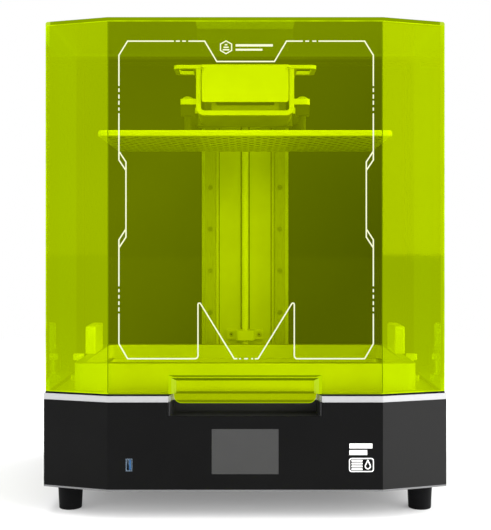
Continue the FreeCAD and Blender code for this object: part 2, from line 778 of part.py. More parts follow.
def z_motor():
    half = MOTOR_W / 2
    low = Z_DECK_LOW - MOTOR_H
    body = box(-half, half, SCREW_Y - half, SCREW_Y + half, low, Z_DECK_LOW)
    body = fillet_along(body, Z_AXIS, 5)
    waist_low = low + MOTOR_END_T
    waist_high = Z_DECK_LOW - 10
    groove = box(-half - 1, half + 1, SCREW_Y - half - 1, SCREW_Y + half + 1, waist_low, waist_high)
    thin = half - MOTOR_WAIST
    core = box(-thin, thin, SCREW_Y - thin, SCREW_Y + thin, waist_low, waist_high)
    core = fillet_along(core, Z_AXIS, 5)
    body = body.cut(groove.cut(core))
    pilot = cyl_z(0, SCREW_Y, Z_DECK_LOW - 1, Z_DECK_LOW + 1.6, PILOT_R)
    body = body.fuse(pilot).removeSplitter()
    return body.cut(cyl_z(0, SCREW_Y, Z_DECK_LOW - 20, Z_DECK_LOW + 3, MOTOR_SHAFT_R + RUN))


def motor_shaft():
    return cyl_z(0, SCREW_Y, Z_DECK_LOW - 19.5, MOTOR_SHAFT_TOP, MOTOR_SHAFT_R)


def shaft_coupler():
    """Clamp coupler between the motor's shaft and the lead screw."""
    body = cyl_z(0, SCREW_Y, COUPLER_LOW, COUPLER_TOP, COUPLER_R)
    body = body.cut(cyl_z(0, SCREW_Y, COUPLER_LOW - 1, COUPLER_MID, MOTOR_SHAFT_R))
    body = body.cut(cyl_z(0, SCREW_Y, COUPLER_MID, COUPLER_TOP + 1, JOURNAL_R))
    slit = (0, COUPLER_R + 1, SCREW_Y - 0.5, SCREW_Y + 0.5)
    slits = [box(*slit, COUPLER_LOW - 1, COUPLER_MID - 2.5),
             box(*slit, COUPLER_MID + 2.5, COUPLER_TOP + 1)]
    return body.cut(Part.makeCompound(slits))


def lead_screw():
    top = UPPER_BLOCK_Z + BLOCK_H
    screw = cyl_z(0, SCREW_Y, LOWER_BLOCK_Z + BLOCK_H + 1, UPPER_BLOCK_Z - 1, SCREW_R)
    lower = cyl_z(0, SCREW_Y, JOURNAL_LOW, LOWER_BLOCK_Z + BLOCK_H + 2, JOURNAL_R)
    upper = cyl_z(0, SCREW_Y, UPPER_BLOCK_Z - 2, top, JOURNAL_R)
    return screw.fuse([lower, upper]).removeSplitter()


def limit_switch():
    """Optical homing sensor beside the left rail."""
    right = SWITCH_LEFT + SWITCH_SIZE
    top = SWITCH_LOW + SWITCH_SIZE
    body = box(SWITCH_LEFT, right, COLUMN_Y - 12, COLUMN_Y, SWITCH_LOW, top)
    fork_a = box(SWITCH_LEFT, SWITCH_LEFT + 2, COLUMN_Y - 22, COLUMN_Y - 11, SWITCH_LOW, top)
    fork_b = box(right - 2, right, COLUMN_Y - 22, COLUMN_Y - 11, SWITCH_LOW, top)
    return body.fuse([fork_a, fork_b]).removeSplitter()


# ---------------------------------------------------------------- moving carriage
def rail_carriages():
    """Recirculating ball carriages, open over the rails."""
    gap = 0.3
    pieces = []
    for side in (-1, 1):
        x = side * RAIL_X
        back = COLUMN_Y - 4.3
        body = box(x - CARRIAGE_W / 2, x + CARRIAGE_W / 2, CARRIAGE_FRONT, back,
                   CARRIAGE_Z, CARRIAGE_Z + CARRIAGE_L)
        body = fillet_along(body, Z_AXIS, 1.5)
        half = RAIL_SIZE / 2 + gap
        channel = box(x - half, x + half, COLUMN_Y - RAIL_SIZE - gap, back + 1,
                      CARRIAGE_Z - 1, CARRIAGE_Z + CARRIAGE_L + 1)
        pieces.append(body.cut(channel))
    return Part.makeCompound(pieces)


def carriage_plate():
    """Plate across both carriages, with the homing flag on its left edge."""
    plate = box(-PLATE_HALF, PLATE_HALF, CARRIAGE_FRONT - PLATE_T, CARRIAGE_FRONT, PLATE_LOW, PLATE_TOP)
    plate = fillet_along(plate, Y_AXIS, 3)
    bolts = []
    for x in (-62, -38, 38, 62):
        for z in (500, 530):
            bolts.append(cyl_y(x, z, CARRIAGE_FRONT - PLATE_T - 1, CARRIAGE_FRONT - PLATE_T + 6, 3.6))
    flag = box(FLAG_X, FLAG_X + 1, CARRIAGE_FRONT - 3, CARRIAGE_FRONT + 12, PLATE_TOP - 1, FLAG_TOP)
    return plate.cut(Part.makeCompound(bolts)).fuse(flag).removeSplitter()


def ball_nut():
    block = box(-NUT_HALF, NUT_HALF, CARRIAGE_FRONT, COLUMN_Y - 1, NUT_LOW, NUT_TOP)
    block = fillet_along(block, Z_AXIS, 3)
    nut = cyl_z(0, SCREW_Y, NUT_NOSE_LOW, NUT_LOW + 1, NUT_R)
    bore = cyl_z(0, SCREW_Y, NUT_NOSE_LOW - 1, NUT_TOP + 1, SCREW_R + RUN)
    return block.fuse(nut).removeSplitter().cut(bore)


def cantilever_arm():
    """Box beam with two side gussets, from the carriage plate into the bracket."""
    back = CARRIAGE_FRONT - PLATE_T
    front = VAT_Y - BRACKET_HALF_D + 4
    beam = box(-ARM_HALF, ARM_HALF, front, back, ARM_LOW, ARM_HIGH)
    beam = fillet_along(beam, Y_AXIS, 3)
    beam = beam.cut(box(-ARM_HALF + 6, ARM_HALF - 6, front - 1, back - 8, ARM_LOW + 7, ARM_HIGH - 7))
    reach = VAT_Y + BRACKET_HALF_D + 3
    gusset = prism([(ARM_HALF - 1, reach), (ARM_HALF + 22, back), (ARM_HALF - 1, back)],
                   ARM_LOW + 4, ARM_LOW + 10)
    return beam.fuse([gusset, mirrored(gusset)]).removeSplitter()


def plate_bracket():
    """U channel that carries the plate, with side flanges for the levelling posts."""
    front = VAT_Y - BRACKET_HALF_D
    back = VAT_Y + BRACKET_HALF_D
    outer = box(-BRACKET_HALF, BRACKET_HALF, front, back, BRACKET_LOW, BRACKET_TOP)
    outer = fillet_along(outer, Y_AXIS, 10, lambda c: c.z < BRACKET_LOW + 1)
    wall = BRACKET_HALF - BRACKET_T
    inner = box(-wall, wall, front - 1, back + 1, BRACKET_LOW + BRACKET_T, BRACKET_TOP + 1)
    inner = fillet_along(inner, Y_AXIS, 4, lambda c: c.z < BRACKET_TOP)
    channel = outer.cut(inner)
    tabs = []
    for side in (-1, 1):
        for y in (VAT_Y - POST_Y, VAT_Y + POST_Y):
            tab = box(BRACKET_HALF - 2, FLANGE_HALF, y - 11, y + 11, FLANGE_LOW, FLANGE_LOW + FLANGE_T)
            tab = fillet_along(tab, Z_AXIS, 5, lambda c: c.x > POST_X)
            tab = tab.cut(cyl_z(POST_X, y, FLANGE_LOW - 1, FLANGE_LOW + FLANGE_T + 1, POST_R))
            tabs.append(tab if side > 0 else mirrored(tab))
    return channel.fuse(tabs).removeSplitter()


def loop_handle():
    """The right lifting loop: a flat bar bent out from the cap plate."""
    y0 = VAT_Y - BRACKET_HALF_D - 1
    y1 = y0 + LOOP_LEN
    x1 = LOOP_REACH
    points = [(CAP_HALF - 3, y0), (x1, y0), (x1, y1), (CAP_HALF - 3, y1)]
    outer = prism(points, BRACKET_TOP, BRACKET_TOP + CAP_T)
    outer = fillet_along(outer, Z_AXIS, 8, lambda c: c.x > x1 - 1)
    hole = box(CAP_HALF - 5, x1 - 6, y0 + LOOP_BAR, y1 - LOOP_BAR, BRACKET_TOP - 1, BRACKET_TOP + CAP_T + 1)
    hole = fillet_along(hole, Z_AXIS, 4, lambda c: c.x > x1 - 7)
    return outer.cut(hole)


def bracket_cap():
    """Cap plate with the folded front lip and two lifting loops."""
    front = VAT_Y - BRACKET_HALF_D - 1
    back = VAT_Y + BRACKET_HALF_D
    cap = box(-CAP_HALF, CAP_HALF, front, back, BRACKET_TOP, BRACKET_TOP + CAP_T)
    lip = box(-CAP_LIP_HALF, CAP_LIP_HALF, front - CAP_LIP_T + 1.0, front + 1.0,
              CAP_LIP_LOW, BRACKET_TOP + CAP_T)
    lip = fillet_along(lip, Y_AXIS, 3, lambda c: c.z < CAP_LIP_LOW + 1)
    cap = cap.fuse([lip, loop_handle(), mirrored(loop_handle())]).removeSplitter()
    reliefs = [cyl_y(s * CAP_LIP_HALF, BRACKET_TOP - 2, front - CAP_LIP_T, front + 0.99, CAP_RELIEF_R)
               for s in (-1, 1)]
    cap = cap.cut(Part.makeCompound(reliefs))
    knob_hole = cyl_z(0, VAT_Y, BRACKET_TOP - 1, BRACKET_TOP + CAP_T + 1, 4)
    return cap.cut(knob_hole)


def post_places():
    return [(s * POST_X, VAT_Y + t * POST_Y) for s in (-1, 1) for t in (-1, 1)]


def levelling_posts():
    posts = []
    for x, y in post_places():
        post = cyl_z(x, y, BP_HIGH, FLANGE_LOW + FLANGE_T + 2.5, POST_R)
        block = box(x - 8.5, x + 8.5, y - 8, y + 8, FLANGE_LOW - 13, FLANGE_LOW)
        pad = cyl_z(x, y, BP_HIGH, BP_HIGH + 3, 9)
        posts.append(post.fuse([block, pad]).removeSplitter())
    return Part.makeCompound(posts)


def levelling_nuts():
    """Low domed hexagon nuts on the posts."""
    nuts = []
    z0 = FLANGE_LOW + FLANGE_T
    for x, y in post_places():
        ring = [(x + NUT_HEX_R * math.cos(math.radians(60 * i)),
                 y + NUT_HEX_R * math.sin(math.radians(60 * i))) for i in range(6)]
        ball = Part.makeSphere(NUT_DOME_R, V(x, y, z0 + NUT_HEX_H - NUT_DOME_R))
        body = prism(ring, z0, z0 + NUT_HEX_H + 1).common(ball)
        nuts.append(body.cut(cyl_z(x, y, z0 - 1, z0 + 2.5, POST_R)))
    return Part.makeCompound(nuts)


def build_plate():
    """Perforated plate; the holes stand in staggered rows."""
    plate = box(-BP_W / 2, BP_W / 2, VAT_Y - BP_D / 2, VAT_Y + BP_D / 2, BP_LOW, BP_HIGH)
    plate = fillet_along(plate, Z_AXIS, 8)
    rim = [e for e in plate.Edges if e.BoundBox.ZLength < 0.01]
    plate = plate.makeFillet(2.4, rim)
    holes = []
    rows = int((BP_D - 20) // ROW_PITCH) // 2
    columns = int((BP_W - 20) // HOLE_PITCH) // 2
    for j in range(-rows, rows + 1):
        shift = HOLE_PITCH / 2 if j % 2 else 0.0
        for i in range(-columns, columns + 1):
            x = i * HOLE_PITCH + shift
            y = VAT_Y + j * ROW_PITCH
            near_post = any(math.hypot(x - px, y - py) < 13.5 for px, py in post_places())
            if abs(x) < BP_W / 2 - 9 and not near_post:
                holes.append(cyl_z(x, y, BP_LOW - 1, BP_HIGH + 1, HOLE_R))
    return plate.cut(Part.makeCompound(holes))


# ---------------------------------------------------------------- hood
def lid_wall(index):
    """One mitred wall of the hood, between two neighbouring corners of its plan."""
    outer = lid_plan()
    inner = lid_plan(ACRYLIC)
    points = [outer[index], outer[index + 1], inner[index + 1], inner[index]]
    return prism(points, Z_LID_LOW, Z_LID_WALL_TOP)


def lid_front_panel():
    panel = lid_wall(2)
    cutout = box(-LIP_CUT_HALF, LIP_CUT_HALF, FRONT - 1, FRONT + 6, Z_LID_LOW - 1, LIP_CUT_TOP)
    return panel.cut(cutout)


def lid_chamfer_panels():
    return Part.makeCompound([lid_wall(1), lid_wall(3)])


def lid_side_panels():
    return Part.makeCompound([lid_wall(0), lid_wall(4)])


def lid_top_panel():
    top = prism(lid_plan(), Z_LID_WALL_TOP, Z_TOP)
    return fillet_along(top, Y_AXIS, 2.5, lambda c: c.z > Z_TOP - 0.5 and abs(c.x) > LID_HALF_W - 1)


def frustum(half_front, top_front, y_front, half_back, top_back, y_back, low):
    """A tapered block: a rectangle at y_front lofted to a smaller one at y_back."""
    wires = []
    for half, top, y in ((half_front, top_front, y_front), (half_back, top_back, y_back)):
        corners = [V(-half, y, low), V(half, y, low), V(half, y, top), V(-half, y, top)]
        wires.append(Part.makePolygon(corners + [corners[0]]))
    return Part.makeLoft(wires, True, True)


def lid_handle_lip():
    """The formed lip: a shallow dish in the front panel that runs down into the finger notch."""
    back = FRONT + LIP_SET_BACK
    skin = frustum(LIP_CUT_HALF, LIP_CUT_TOP, FRONT, LIP_HALF, LIP_CUT_TOP - 4, back + ACRYLIC, Z_LID_LOW)
    dish = frustum(LIP_CUT_HALF - 3.5, LIP_CUT_TOP - 3.3, FRONT - 0.01,
                   LIP_HALF - 2.7, LIP_CUT_TOP - 7.3, back, Z_LID_LOW - 1)
    skin = skin.cut(dish)
    tab = box(-LIP_HALF, LIP_HALF, back, back + ACRYLIC, LIP_LOW, Z_LID_LOW + 1)
    tab = fillet_along(tab, Y_AXIS, 9, lambda c: c.z < LIP_LOW + 1)
    return skin.fuse(tab).removeSplitter()


def lid_gasket():
    """Black strip under the hood's walls, running round the notch."""
    strip = prism(lid_plan(), Z_DECK, GASKET_TOP)
    inside = plan(GASKET_W, LID_REAR + 1, LID_HALF_W)
    strip = strip.cut(prism(inside, Z_DECK - 1, GASKET_TOP + 1))
    collar = notch(3.0, Z_DECK, GASKET_TOP).common(prism(lid_plan(), Z_DECK, GASKET_TOP))
    strip = strip.fuse(collar).removeSplitter()
    return strip.cut(notch(0.0, Z_DECK - 1, GASKET_TOP + 1))


def knuckle(x0, x1, bore):
    barrel = cyl_x(HINGE_Y, HINGE_Z, x0, x1, KNUCKLE_R)
    return barrel.cut(cyl_x(HINGE_Y, HINGE_Z, x0 - 1, x1 + 1, bore))


def hinge_spans():
    """Along X: the two outer lid knuckles, then the base knuckle between them."""
    x0 = HINGE_X - HINGE_LEN / 2
    x3 = HINGE_X + HINGE_LEN / 2
    x1 = x0 + 13.0
    x2 = x3 - 13.0
    return (x0, x1), (x2, x3), (x1 + 0.2, x2 - 0.2)


def hinge_lid_leaves():
    left, right, _ = hinge_spans()
    leaf = box(left[0], right[1], -8, HINGE_Y - KNUCKLE_R - 0.4, Z_TOP, Z_TOP + LEAF_T)
    bore = cyl_x(HINGE_Y, HINGE_Z, left[0] - 1, right[1] + 1, PIN_R + RUN)
    parts = []
    for span in (left, right):
        arm = box(span[0], span[1], HINGE_Y - KNUCKLE_R - 1, HINGE_Y - 0.8, HINGE_Z - KNUCKLE_R + 0.1,
                  HINGE_Z - 0.6)
        parts += [arm, knuckle(span[0], span[1], PIN_R + RUN)]
    leaf = leaf.fuse(parts).removeSplitter().cut(bore)
    return pair(leaf)


def hinge_base_leaves():
    left, right, middle = hinge_spans()
    leaf = box(left[0], right[1], HINGE_Y + KNUCKLE_R + 0.4, 40, Z_TOP, Z_TOP + LEAF_T)
    arm = box(middle[0], middle[1], HINGE_Y + 0.8, HINGE_Y + KNUCKLE_R + 1, HINGE_Z - KNUCKLE_R + 0.1,
              HINGE_Z - 0.6)
    bore = cyl_x(HINGE_Y, HINGE_Z, left[0] - 1, right[1] + 1, PIN_R)
    leaf = leaf.fuse([arm, knuckle(middle[0], middle[1], PIN_R)]).removeSplitter().cut(bore)
    return pair(leaf)


def hinge_pins():
    left, right, _ = hinge_spans()
    return pair(cyl_x(HINGE_Y, HINGE_Z, left[0], right[1], PIN_R))


PARTS = [
    bottom_plate, base_shell, deck_plate, notch_liner, rubber_feet, foot_screws,
    screen_glass, screen_module, usb_shell, usb_tongue, power_inlet, switch_bezel, switch_rocker,
    light_engine_housing, lens_array, heat_sink, fan_frame, fan_rotor, power_supply, main_board,
    mask_lcd, lcd_glass, vat_frame, film_frame, release_film, film_screws, vat_grips,
    rear_housing, back_wall, rear_cover, column, linear_rails, rail_screws,
    bearing_blocks, screw_bearings, z_motor, motor_shaft, shaft_coupler, lead_screw, limit_switch,
    rail_carriages, carriage_plate, ball_nut, cantilever_arm, plate_bracket, bracket_cap,
    levelling_posts, levelling_nuts, build_plate,
    lid_front_panel, lid_chamfer_panels, lid_side_panels, lid_top_panel, lid_handle_lip,
    lid_gasket, hinge_lid_leaves, hinge_base_leaves, hinge_pins,
]


def main():
    os.makedirs("parts", exist_ok=True)
    shapes = {make.__name__: make() for make in PARTS}
    shapes["thumbscrew_right"] = thumbscrew()
    shapes["thumbscrew_left"] = mirrored(thumbscrew())
    for name, shape in shapes.items():
        shape.exportStep("parts/" + name + ".step")
        print(name, "solids", len(shape.Solids), "valid", shape.isValid(), round(shape.Volume))
    print(len(shapes), "nodes")


main()
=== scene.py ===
"""Looks of the large-format resin printer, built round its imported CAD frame. Metres."""
import math
import bmesh
import bpy
from mathutils import Matrix, Vector


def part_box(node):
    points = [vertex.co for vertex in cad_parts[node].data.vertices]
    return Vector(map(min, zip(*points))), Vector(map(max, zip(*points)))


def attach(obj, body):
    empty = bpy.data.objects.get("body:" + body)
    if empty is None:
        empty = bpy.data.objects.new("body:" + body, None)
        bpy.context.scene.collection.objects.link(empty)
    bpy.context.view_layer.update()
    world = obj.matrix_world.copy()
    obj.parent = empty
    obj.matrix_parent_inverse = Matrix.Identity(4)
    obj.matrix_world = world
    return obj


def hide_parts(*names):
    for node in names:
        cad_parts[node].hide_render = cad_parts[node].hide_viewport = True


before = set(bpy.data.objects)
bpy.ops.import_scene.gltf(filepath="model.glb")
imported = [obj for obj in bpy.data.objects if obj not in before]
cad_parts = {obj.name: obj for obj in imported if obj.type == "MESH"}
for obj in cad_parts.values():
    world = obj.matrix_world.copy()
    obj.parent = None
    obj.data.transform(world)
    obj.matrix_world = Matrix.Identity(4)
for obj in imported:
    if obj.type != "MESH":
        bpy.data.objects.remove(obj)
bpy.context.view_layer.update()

MM = 0.001

# ---- places, all read from the frame ----
FRONT_LO, FRONT_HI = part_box("lid_front_panel")
SCREW_LO, SCREW_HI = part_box("lead_screw")
PLATE_LO, PLATE_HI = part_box("build_plate")
BLOCKS_LO, BLOCKS_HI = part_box("bearing_blocks")
FRONT_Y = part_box("base_shell")[0].y
COLUMN_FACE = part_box("column")[0].y
HOUSING_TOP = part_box("rear_housing")[1].z

# ---- camera ----
CAMERA_DISTANCE = 1.143       # from the front face
CAMERA_HEIGHT = 0.3125
FOCAL_MM = 67.3
SHIFT_X = 0.0007
SHIFT_Y = -0.033

# ---- light: the studio's own glow by direction, and its soft boxes ----
WORLD_FLOOR = 0.10
WORLD_LOBES = [("X", 0.35, 0.75, 5.0), ("X", -0.35, -0.75, 1.8), ("Z", 0.2, 0.9, 0.7),
               ("Y", 0.2, 0.9, 0.4)]
BOXES = [("key_right", (1.7, -1.5, 1.5), 1.2, 1.6, 24.0), ("fill_left", (-1.9, -1.2, 1.0), 1.0, 1.6, 10.0),
         ("top", (0.0, 0.2, 2.4), 2.2, 1.8, 60.0), ("front", (0.2, -2.6, 1.0), 1.6, 0.8, 28.0)]
LIGHT_AIM = Vector((0.0, 0.0, 0.3))
FLOOR_TONE = 0.52
FLOOR_LIFT = 0.20
FLOOR_NEAR = 0.9              # lit floor out to here, then it turns into the white backdrop
FLOOR_FAR = 2.2
CARDS = [(0.26, 0.40, 0.8), (-0.26, -0.40, 0.3)]    # cards that only reflections see: from x, to x, strength

# ---- hood edges ----
OUTER_SEAM = 0.230            # the vertical seams beyond here get the painted edge light
# glow colours of the cut edges: painted light on the outer and rear edges, a dimmer painted glow on the
# seams
PAINTED_EDGE_LIGHT = (0.62, 0.82, 0.04)
PAINTED_SEAM_GLOW = (0.24, 0.34, 0.0)
VEIL_LOW, VEIL_HIGH = 0.15, 0.51      # height less x, from the lower right to the upper left of the front, along which the painted glow grows
JOINT_HALF = 0.4 * MM
JOINT_INSET = 0.6 * MM

# ---- column ----
SCREW_SHADE_HALF = 6.6 * MM       # half width of the dark strip behind the screw that paints the shade there
THREAD_INSET = 15 * MM        # from the outer end of a bearing block to where the thread starts
SCREW_LEAD = 5.0 * MM
JOURNAL_R = 4.0 * MM
RAIL_W = 15 * MM
SHOULDER_W = 3.9 * MM
SHOULDER_OUT = 3.0 * MM       # how far the shoulders stand out from the column
# groove strips: dark and standing out a little, painted shade beside the shoulders
GROOVE_W = 1.2 * MM
GROOVE_OUT = 0.4 * MM
BURIED = 0.5 * MM             # how deep trim sits in the surface that carries it

# ---- painted light and shade that depend on place ----
PAINTED_LIGHT_BAND = 8 * MM         # painted light: paler band along the top of the rear housing
PLATE_MARGIN = 3 * MM         # the plate's rim outside its drilled field

# ---- printed border on the hood's front panel ----
PRINT_T = 0.06 * MM
LINE_W = 1.5


# ---------------------------------------------------------------- node helpers
class Nodes:
    """A short way to write a material's nodes."""

    def __init__(self, name):
        self.material = bpy.data.materials.new(name)
        self.material.use_nodes = True
        self.tree = self.material.node_tree
        self.tree.nodes.clear()
        self.output = self.add("ShaderNodeOutputMaterial")

    def add(self, kind, values=None, **settings):
        node = self.tree.nodes.new(kind)
        for key, value in settings.items():
            setattr(node, key, value)
        for key, value in (values or {}).items():
            self.put(node.inputs[key], value)
        return node

    def put(self, socket, value):
        if isinstance(value, bpy.types.NodeSocket):
            self.tree.links.new(value, socket)
        elif isinstance(value, tuple) and len(value) == 3 and socket.type == "RGBA":
            socket.default_value = (*value, 1.0)
        else:
            socket.default_value = value

    def math(self, operation, a, b=0.0, clamp=False):
        node = self.add("ShaderNodeMath", {0: a, 1: b}, operation=operation, use_clamp=clamp)
        return node.outputs[0]

    def mix_color(self, factor, a, b):
        node = self.add("ShaderNodeMix", data_type="RGBA")
        self.put(node.inputs[0], factor)
        self.put(node.inputs[6], a)
        self.put(node.inputs[7], b)
        return node.outputs[2]

    def mix_shader(self, factor, a, b):
        node = self.add("ShaderNodeMixShader")
        self.put(node.inputs[0], factor)
        self.put(node.inputs[1], a)
        self.put(node.inputs[2], b)
        return node.outputs[0]

    def coords(self, kind="Object"):
        return self.add("ShaderNodeTexCoord").outputs[kind]

    def noise(self, scale, detail=3.0, stretch=(1.0, 1.0, 1.0)):
        mapping = self.add("ShaderNodeMapping", {"Vector": self.coords(), "Scale": stretch})
        node = self.add("ShaderNodeTexNoise", {"Vector": mapping.outputs[0], "Scale": scale,
                                              "Detail": detail})
        return node.outputs["Fac"]

    def ramp(self, value, low, high, out_low=0.0, out_high=1.0):
        node = self.add("ShaderNodeMapRange", {0: value, 1: low, 2: high, 3: out_low, 4: out_high})
        return node.outputs[0]

    def finish(self, shader):
        self.put(self.output.inputs["Surface"], shader)
        return self.material


def varied(n, color, spread, scale, stretch=(1.0, 1.0, 1.0)):
    """A colour that wanders a little lighter and darker."""
    low = tuple(c * (1 - spread) for c in color)
    high = tuple(min(1.0, c * (1 + spread)) for c in color)
    return n.mix_color(n.ramp(n.noise(scale, 4.0, stretch), 0.3, 0.7), low, high)


def principled(n, color, roughness, metallic=0.0, bump=None, bump_height=0.05, edge=0.0, **extra):
    """Principled surface with an optional bump and softly rounded edges."""
    values = {"Base Color": color, "Roughness": roughness, "Metallic": metallic}
    values.update(extra)
    normal = None
    if edge:
        normal = n.add("ShaderNodeBevel", {"Radius": edge}, samples=4).outputs[0]
    if bump is not None:
        node = n.add("ShaderNodeBump", {"Strength": 1.0, "Distance": bump_height * MM, "Height": bump})
        if normal is not None:
            n.put(node.inputs["Normal"], normal)
        normal = node.outputs[0]
    if normal is not None:
        values["Normal"] = normal
    return n.add("ShaderNodeBsdfPrincipled", values).outputs[0]


# ---------------------------------------------------------------- materials
def powder_coat(name, color, roughness=0.5, lit=None, painted_light_from=1.0, right=None):
    """Fine-textured black powder coat.

    lit is the colour of painted light on faces that look down or lie above the given height, right that of
    painted light on faces that look right.
    """
    n = Nodes(name)
    grain = n.noise(2200.0, 2.0)
    rough = n.ramp(n.noise(40.0, 4.0), 0.3, 0.7, roughness - 0.05, roughness + 0.06)
    shade = varied(n, color, 0.15, 18.0)
    # painted light: faces that look down, and the band above the height given, take the lit colour
    if lit:
        down = n.add("ShaderNodeSeparateXYZ", {0: n.coords("Normal")}).outputs["Z"]
        height = n.add("ShaderNodeSeparateXYZ", {0: n.coords()}).outputs["Z"]
        high = n.ramp(height, painted_light_from, painted_light_from + MM)
        shade = n.mix_color(n.math("MAXIMUM", high, n.ramp(down, -0.9, -0.4, 1.0, 0.0)), shade, lit)
    # painted light: faces that look right take the right colour, as if lit by the key light
    if right:
        towards = n.add("ShaderNodeSeparateXYZ", {0: n.coords("Normal")}).outputs["X"]
        shade = n.mix_color(n.ramp(towards, 0.15, 0.4), shade, right)
    shader = principled(n, shade, rough, bump=grain, bump_height=0.004,
                        edge=0.6 * MM, **{"Specular IOR Level": 0.085})
    return n.finish(shader)


def brushed(name, color, roughness=0.32, stretch=(1.0, 60.0, 60.0), metallic=1.0, lines=90.0):
    """Metal with fine brushing along X, Y or Z, as stretch says."""
    n = Nodes(name)
    streaks = n.noise(lines, 5.0, stretch)
    rough = n.ramp(streaks, 0.3, 0.7, roughness - 0.07, roughness + 0.09)
    shader = principled(n, varied(n, color, 0.05, lines, stretch), rough, metallic, bump=streaks,
                        bump_height=0.004, edge=0.5 * MM)
    return n.finish(shader)


def painted_shade_below(n, color, unshaded_share):
    """Paints shade on the faces that look down, which see little light; the share given is how much of their
    own colour they keep.
    """
    down = n.add("ShaderNodeSeparateXYZ", {0: n.coords("Normal")}).outputs["Z"]
    share = n.ramp(down, -0.9, -0.4, 1.0 - unshaded_share, 0.0)
    return n.mix_color(share, color, (0.02, 0.02, 0.02))


def blasted(name, color, roughness=0.42, metallic=0.85, unshaded_share=1.0):
    """Bead-blasted, anodised aluminium; where the last share given is less than 1, faces that look down get
    painted shade.
    """
    n = Nodes(name)
    grain = n.noise(1600.0, 2.0)
    rough = n.ramp(n.noise(25.0, 4.0), 0.3, 0.7, roughness - 0.05, roughness + 0.06)
    shade = painted_shade_below(n, varied(n, color, 0.06, 12.0), unshaded_share)
    shader = principled(n, shade, rough, metallic, bump=grain,
                        bump_height=0.008, edge=0.5 * MM)
    return n.finish(shader)


def drilled_plate(name, color):
    """Sanded plate with painted shade on its underside and on the walls of its drilled holes."""
    n = Nodes(name)
    streaks = n.noise(90.0, 5.0, (1.0, 60.0, 60.0))
    normal_z = n.add("ShaderNodeSeparateXYZ", {0: n.coords("Normal")}).outputs["Z"]
    place = n.add("ShaderNodeSeparateXYZ", {0: n.coords()})
    centre_y = (PLATE_LO.y + PLATE_HI.y) / 2
    inside_x = n.math("LESS_THAN", n.math("ABSOLUTE", place.outputs["X"]), PLATE_HI.x - PLATE_MARGIN)
    off_y = n.math("ABSOLUTE", n.math("SUBTRACT", place.outputs["Y"], centre_y))
    inside_y = n.math("LESS_THAN", off_y, PLATE_HI.y - centre_y - PLATE_MARGIN)
    # painted shade: the walls of the drilled holes go dark, and faces that look down darker
    wall = n.math("LESS_THAN", n.math("ABSOLUTE", normal_z), 0.5)
    painted_hole_shade = n.math("MULTIPLY", wall, n.math("MULTIPLY", inside_x, inside_y))
    painted_underside_shade = n.ramp(normal_z, -0.9, -0.5, 1.0, 0.0)
    shade = varied(n, color, 0.05, 90.0, (1.0, 60.0, 60.0))
    shade = n.mix_color(painted_underside_shade, shade, (0.54, 0.54, 0.55))
    shade = n.mix_color(painted_hole_shade, shade, (0.05, 0.05, 0.05))
    rough = n.ramp(streaks, 0.3, 0.7, 0.28, 0.42)
    return n.finish(principled(n, shade, rough, 0.2, bump=streaks, bump_height=0.003))


def vat_metal(name):
    """Anodised vat with painted light: paler towards the back, so lighter inside than outside at the front;
    and painted shade on faces that look up, its rims among them.
    """
    n = Nodes(name)
    grain = n.noise(1400.0, 2.0)
    back = n.add("ShaderNodeSeparateXYZ", {0: n.coords()}).outputs["Y"]
    # painted light: paler towards the back, so lighter inside than outside at the front
    painted_light_inside = n.ramp(back, -0.15, 0.04)
    shade = n.mix_color(painted_light_inside, varied(n, (0.575, 0.585, 0.595), 0.05, 14.0), (0.82, 0.83, 0.84))
    # painted shade: faces that look up, its rims among them, go darker
    level = n.add("ShaderNodeSeparateXYZ", {0: n.coords("Normal")}).outputs["Z"]
    shade = n.mix_color(n.ramp(level, 0.5, 0.9), shade, (0.27, 0.28, 0.29))
    rough = n.ramp(n.noise(25.0, 4.0), 0.3, 0.7, 0.34, 0.46)
    return n.finish(principled(n, shade, rough, 0.25, bump=grain, bump_height=0.004, edge=0.5 * MM))


def plastic(name, color, roughness=0.45, grain_scale=900.0):
    n = Nodes(name)
    grain = n.noise(grain_scale, 3.0)
    rough = n.ramp(n.noise(60.0, 3.0), 0.3, 0.7, roughness - 0.04, roughness + 0.06)
    shader = principled(n, varied(n, color, 0.10, 30.0), rough, bump=grain, bump_height=0.02,
                        edge=0.3 * MM)
    return n.finish(shader)


def rubber(name):
    n = Nodes(name)
    grain = n.noise(700.0, 4.0)
    shader = principled(n, varied(n, (0.003, 0.003, 0.0033), 0.25, 60.0), 0.62, bump=grain,
                        bump_height=0.006, edge=0.4 * MM, **{"Specular IOR Level": 0.06})
    return n.finish(shader)


def glossy_panel(name, color):
    """Black or grey glass over a dark panel, with faint finger smears."""
    n = Nodes(name)
    smear = n.ramp(n.noise(35.0, 5.0, (1.0, 1.0, 3.0)), 0.45, 0.75, 0.10, 0.24)
    return n.finish(principled(n, varied(n, color, 0.04, 20.0), smear, **{"Specular IOR Level": 0.25}))


def clear_sheet(name, tint, veil, gloss_roughness=0.05):
    """A thin clear sheet: mostly see-through, with a Fresnel gloss."""
    n = Nodes(name)
    see_through = n.add("ShaderNodeBsdfTransparent", {"Color": tint}).outputs[0]
    body = n.add("ShaderNodeBsdfDiffuse", {"Color": veil}).outputs[0]
    speck = n.ramp(n.noise(60.0, 3.0), 0.4, 0.8, 0.06, 0.14)
    inner = n.mix_shader(speck, see_through, body)
    gloss = n.add("ShaderNodeBsdfGlossy", {"Color": (1.0, 1.0, 1.0), "Roughness": gloss_roughness})
    fresnel = n.add("ShaderNodeFresnel", {"IOR": 1.45}).outputs[0]
    return n.finish(n.mix_shader(fresnel, inner, gloss.outputs[0]))


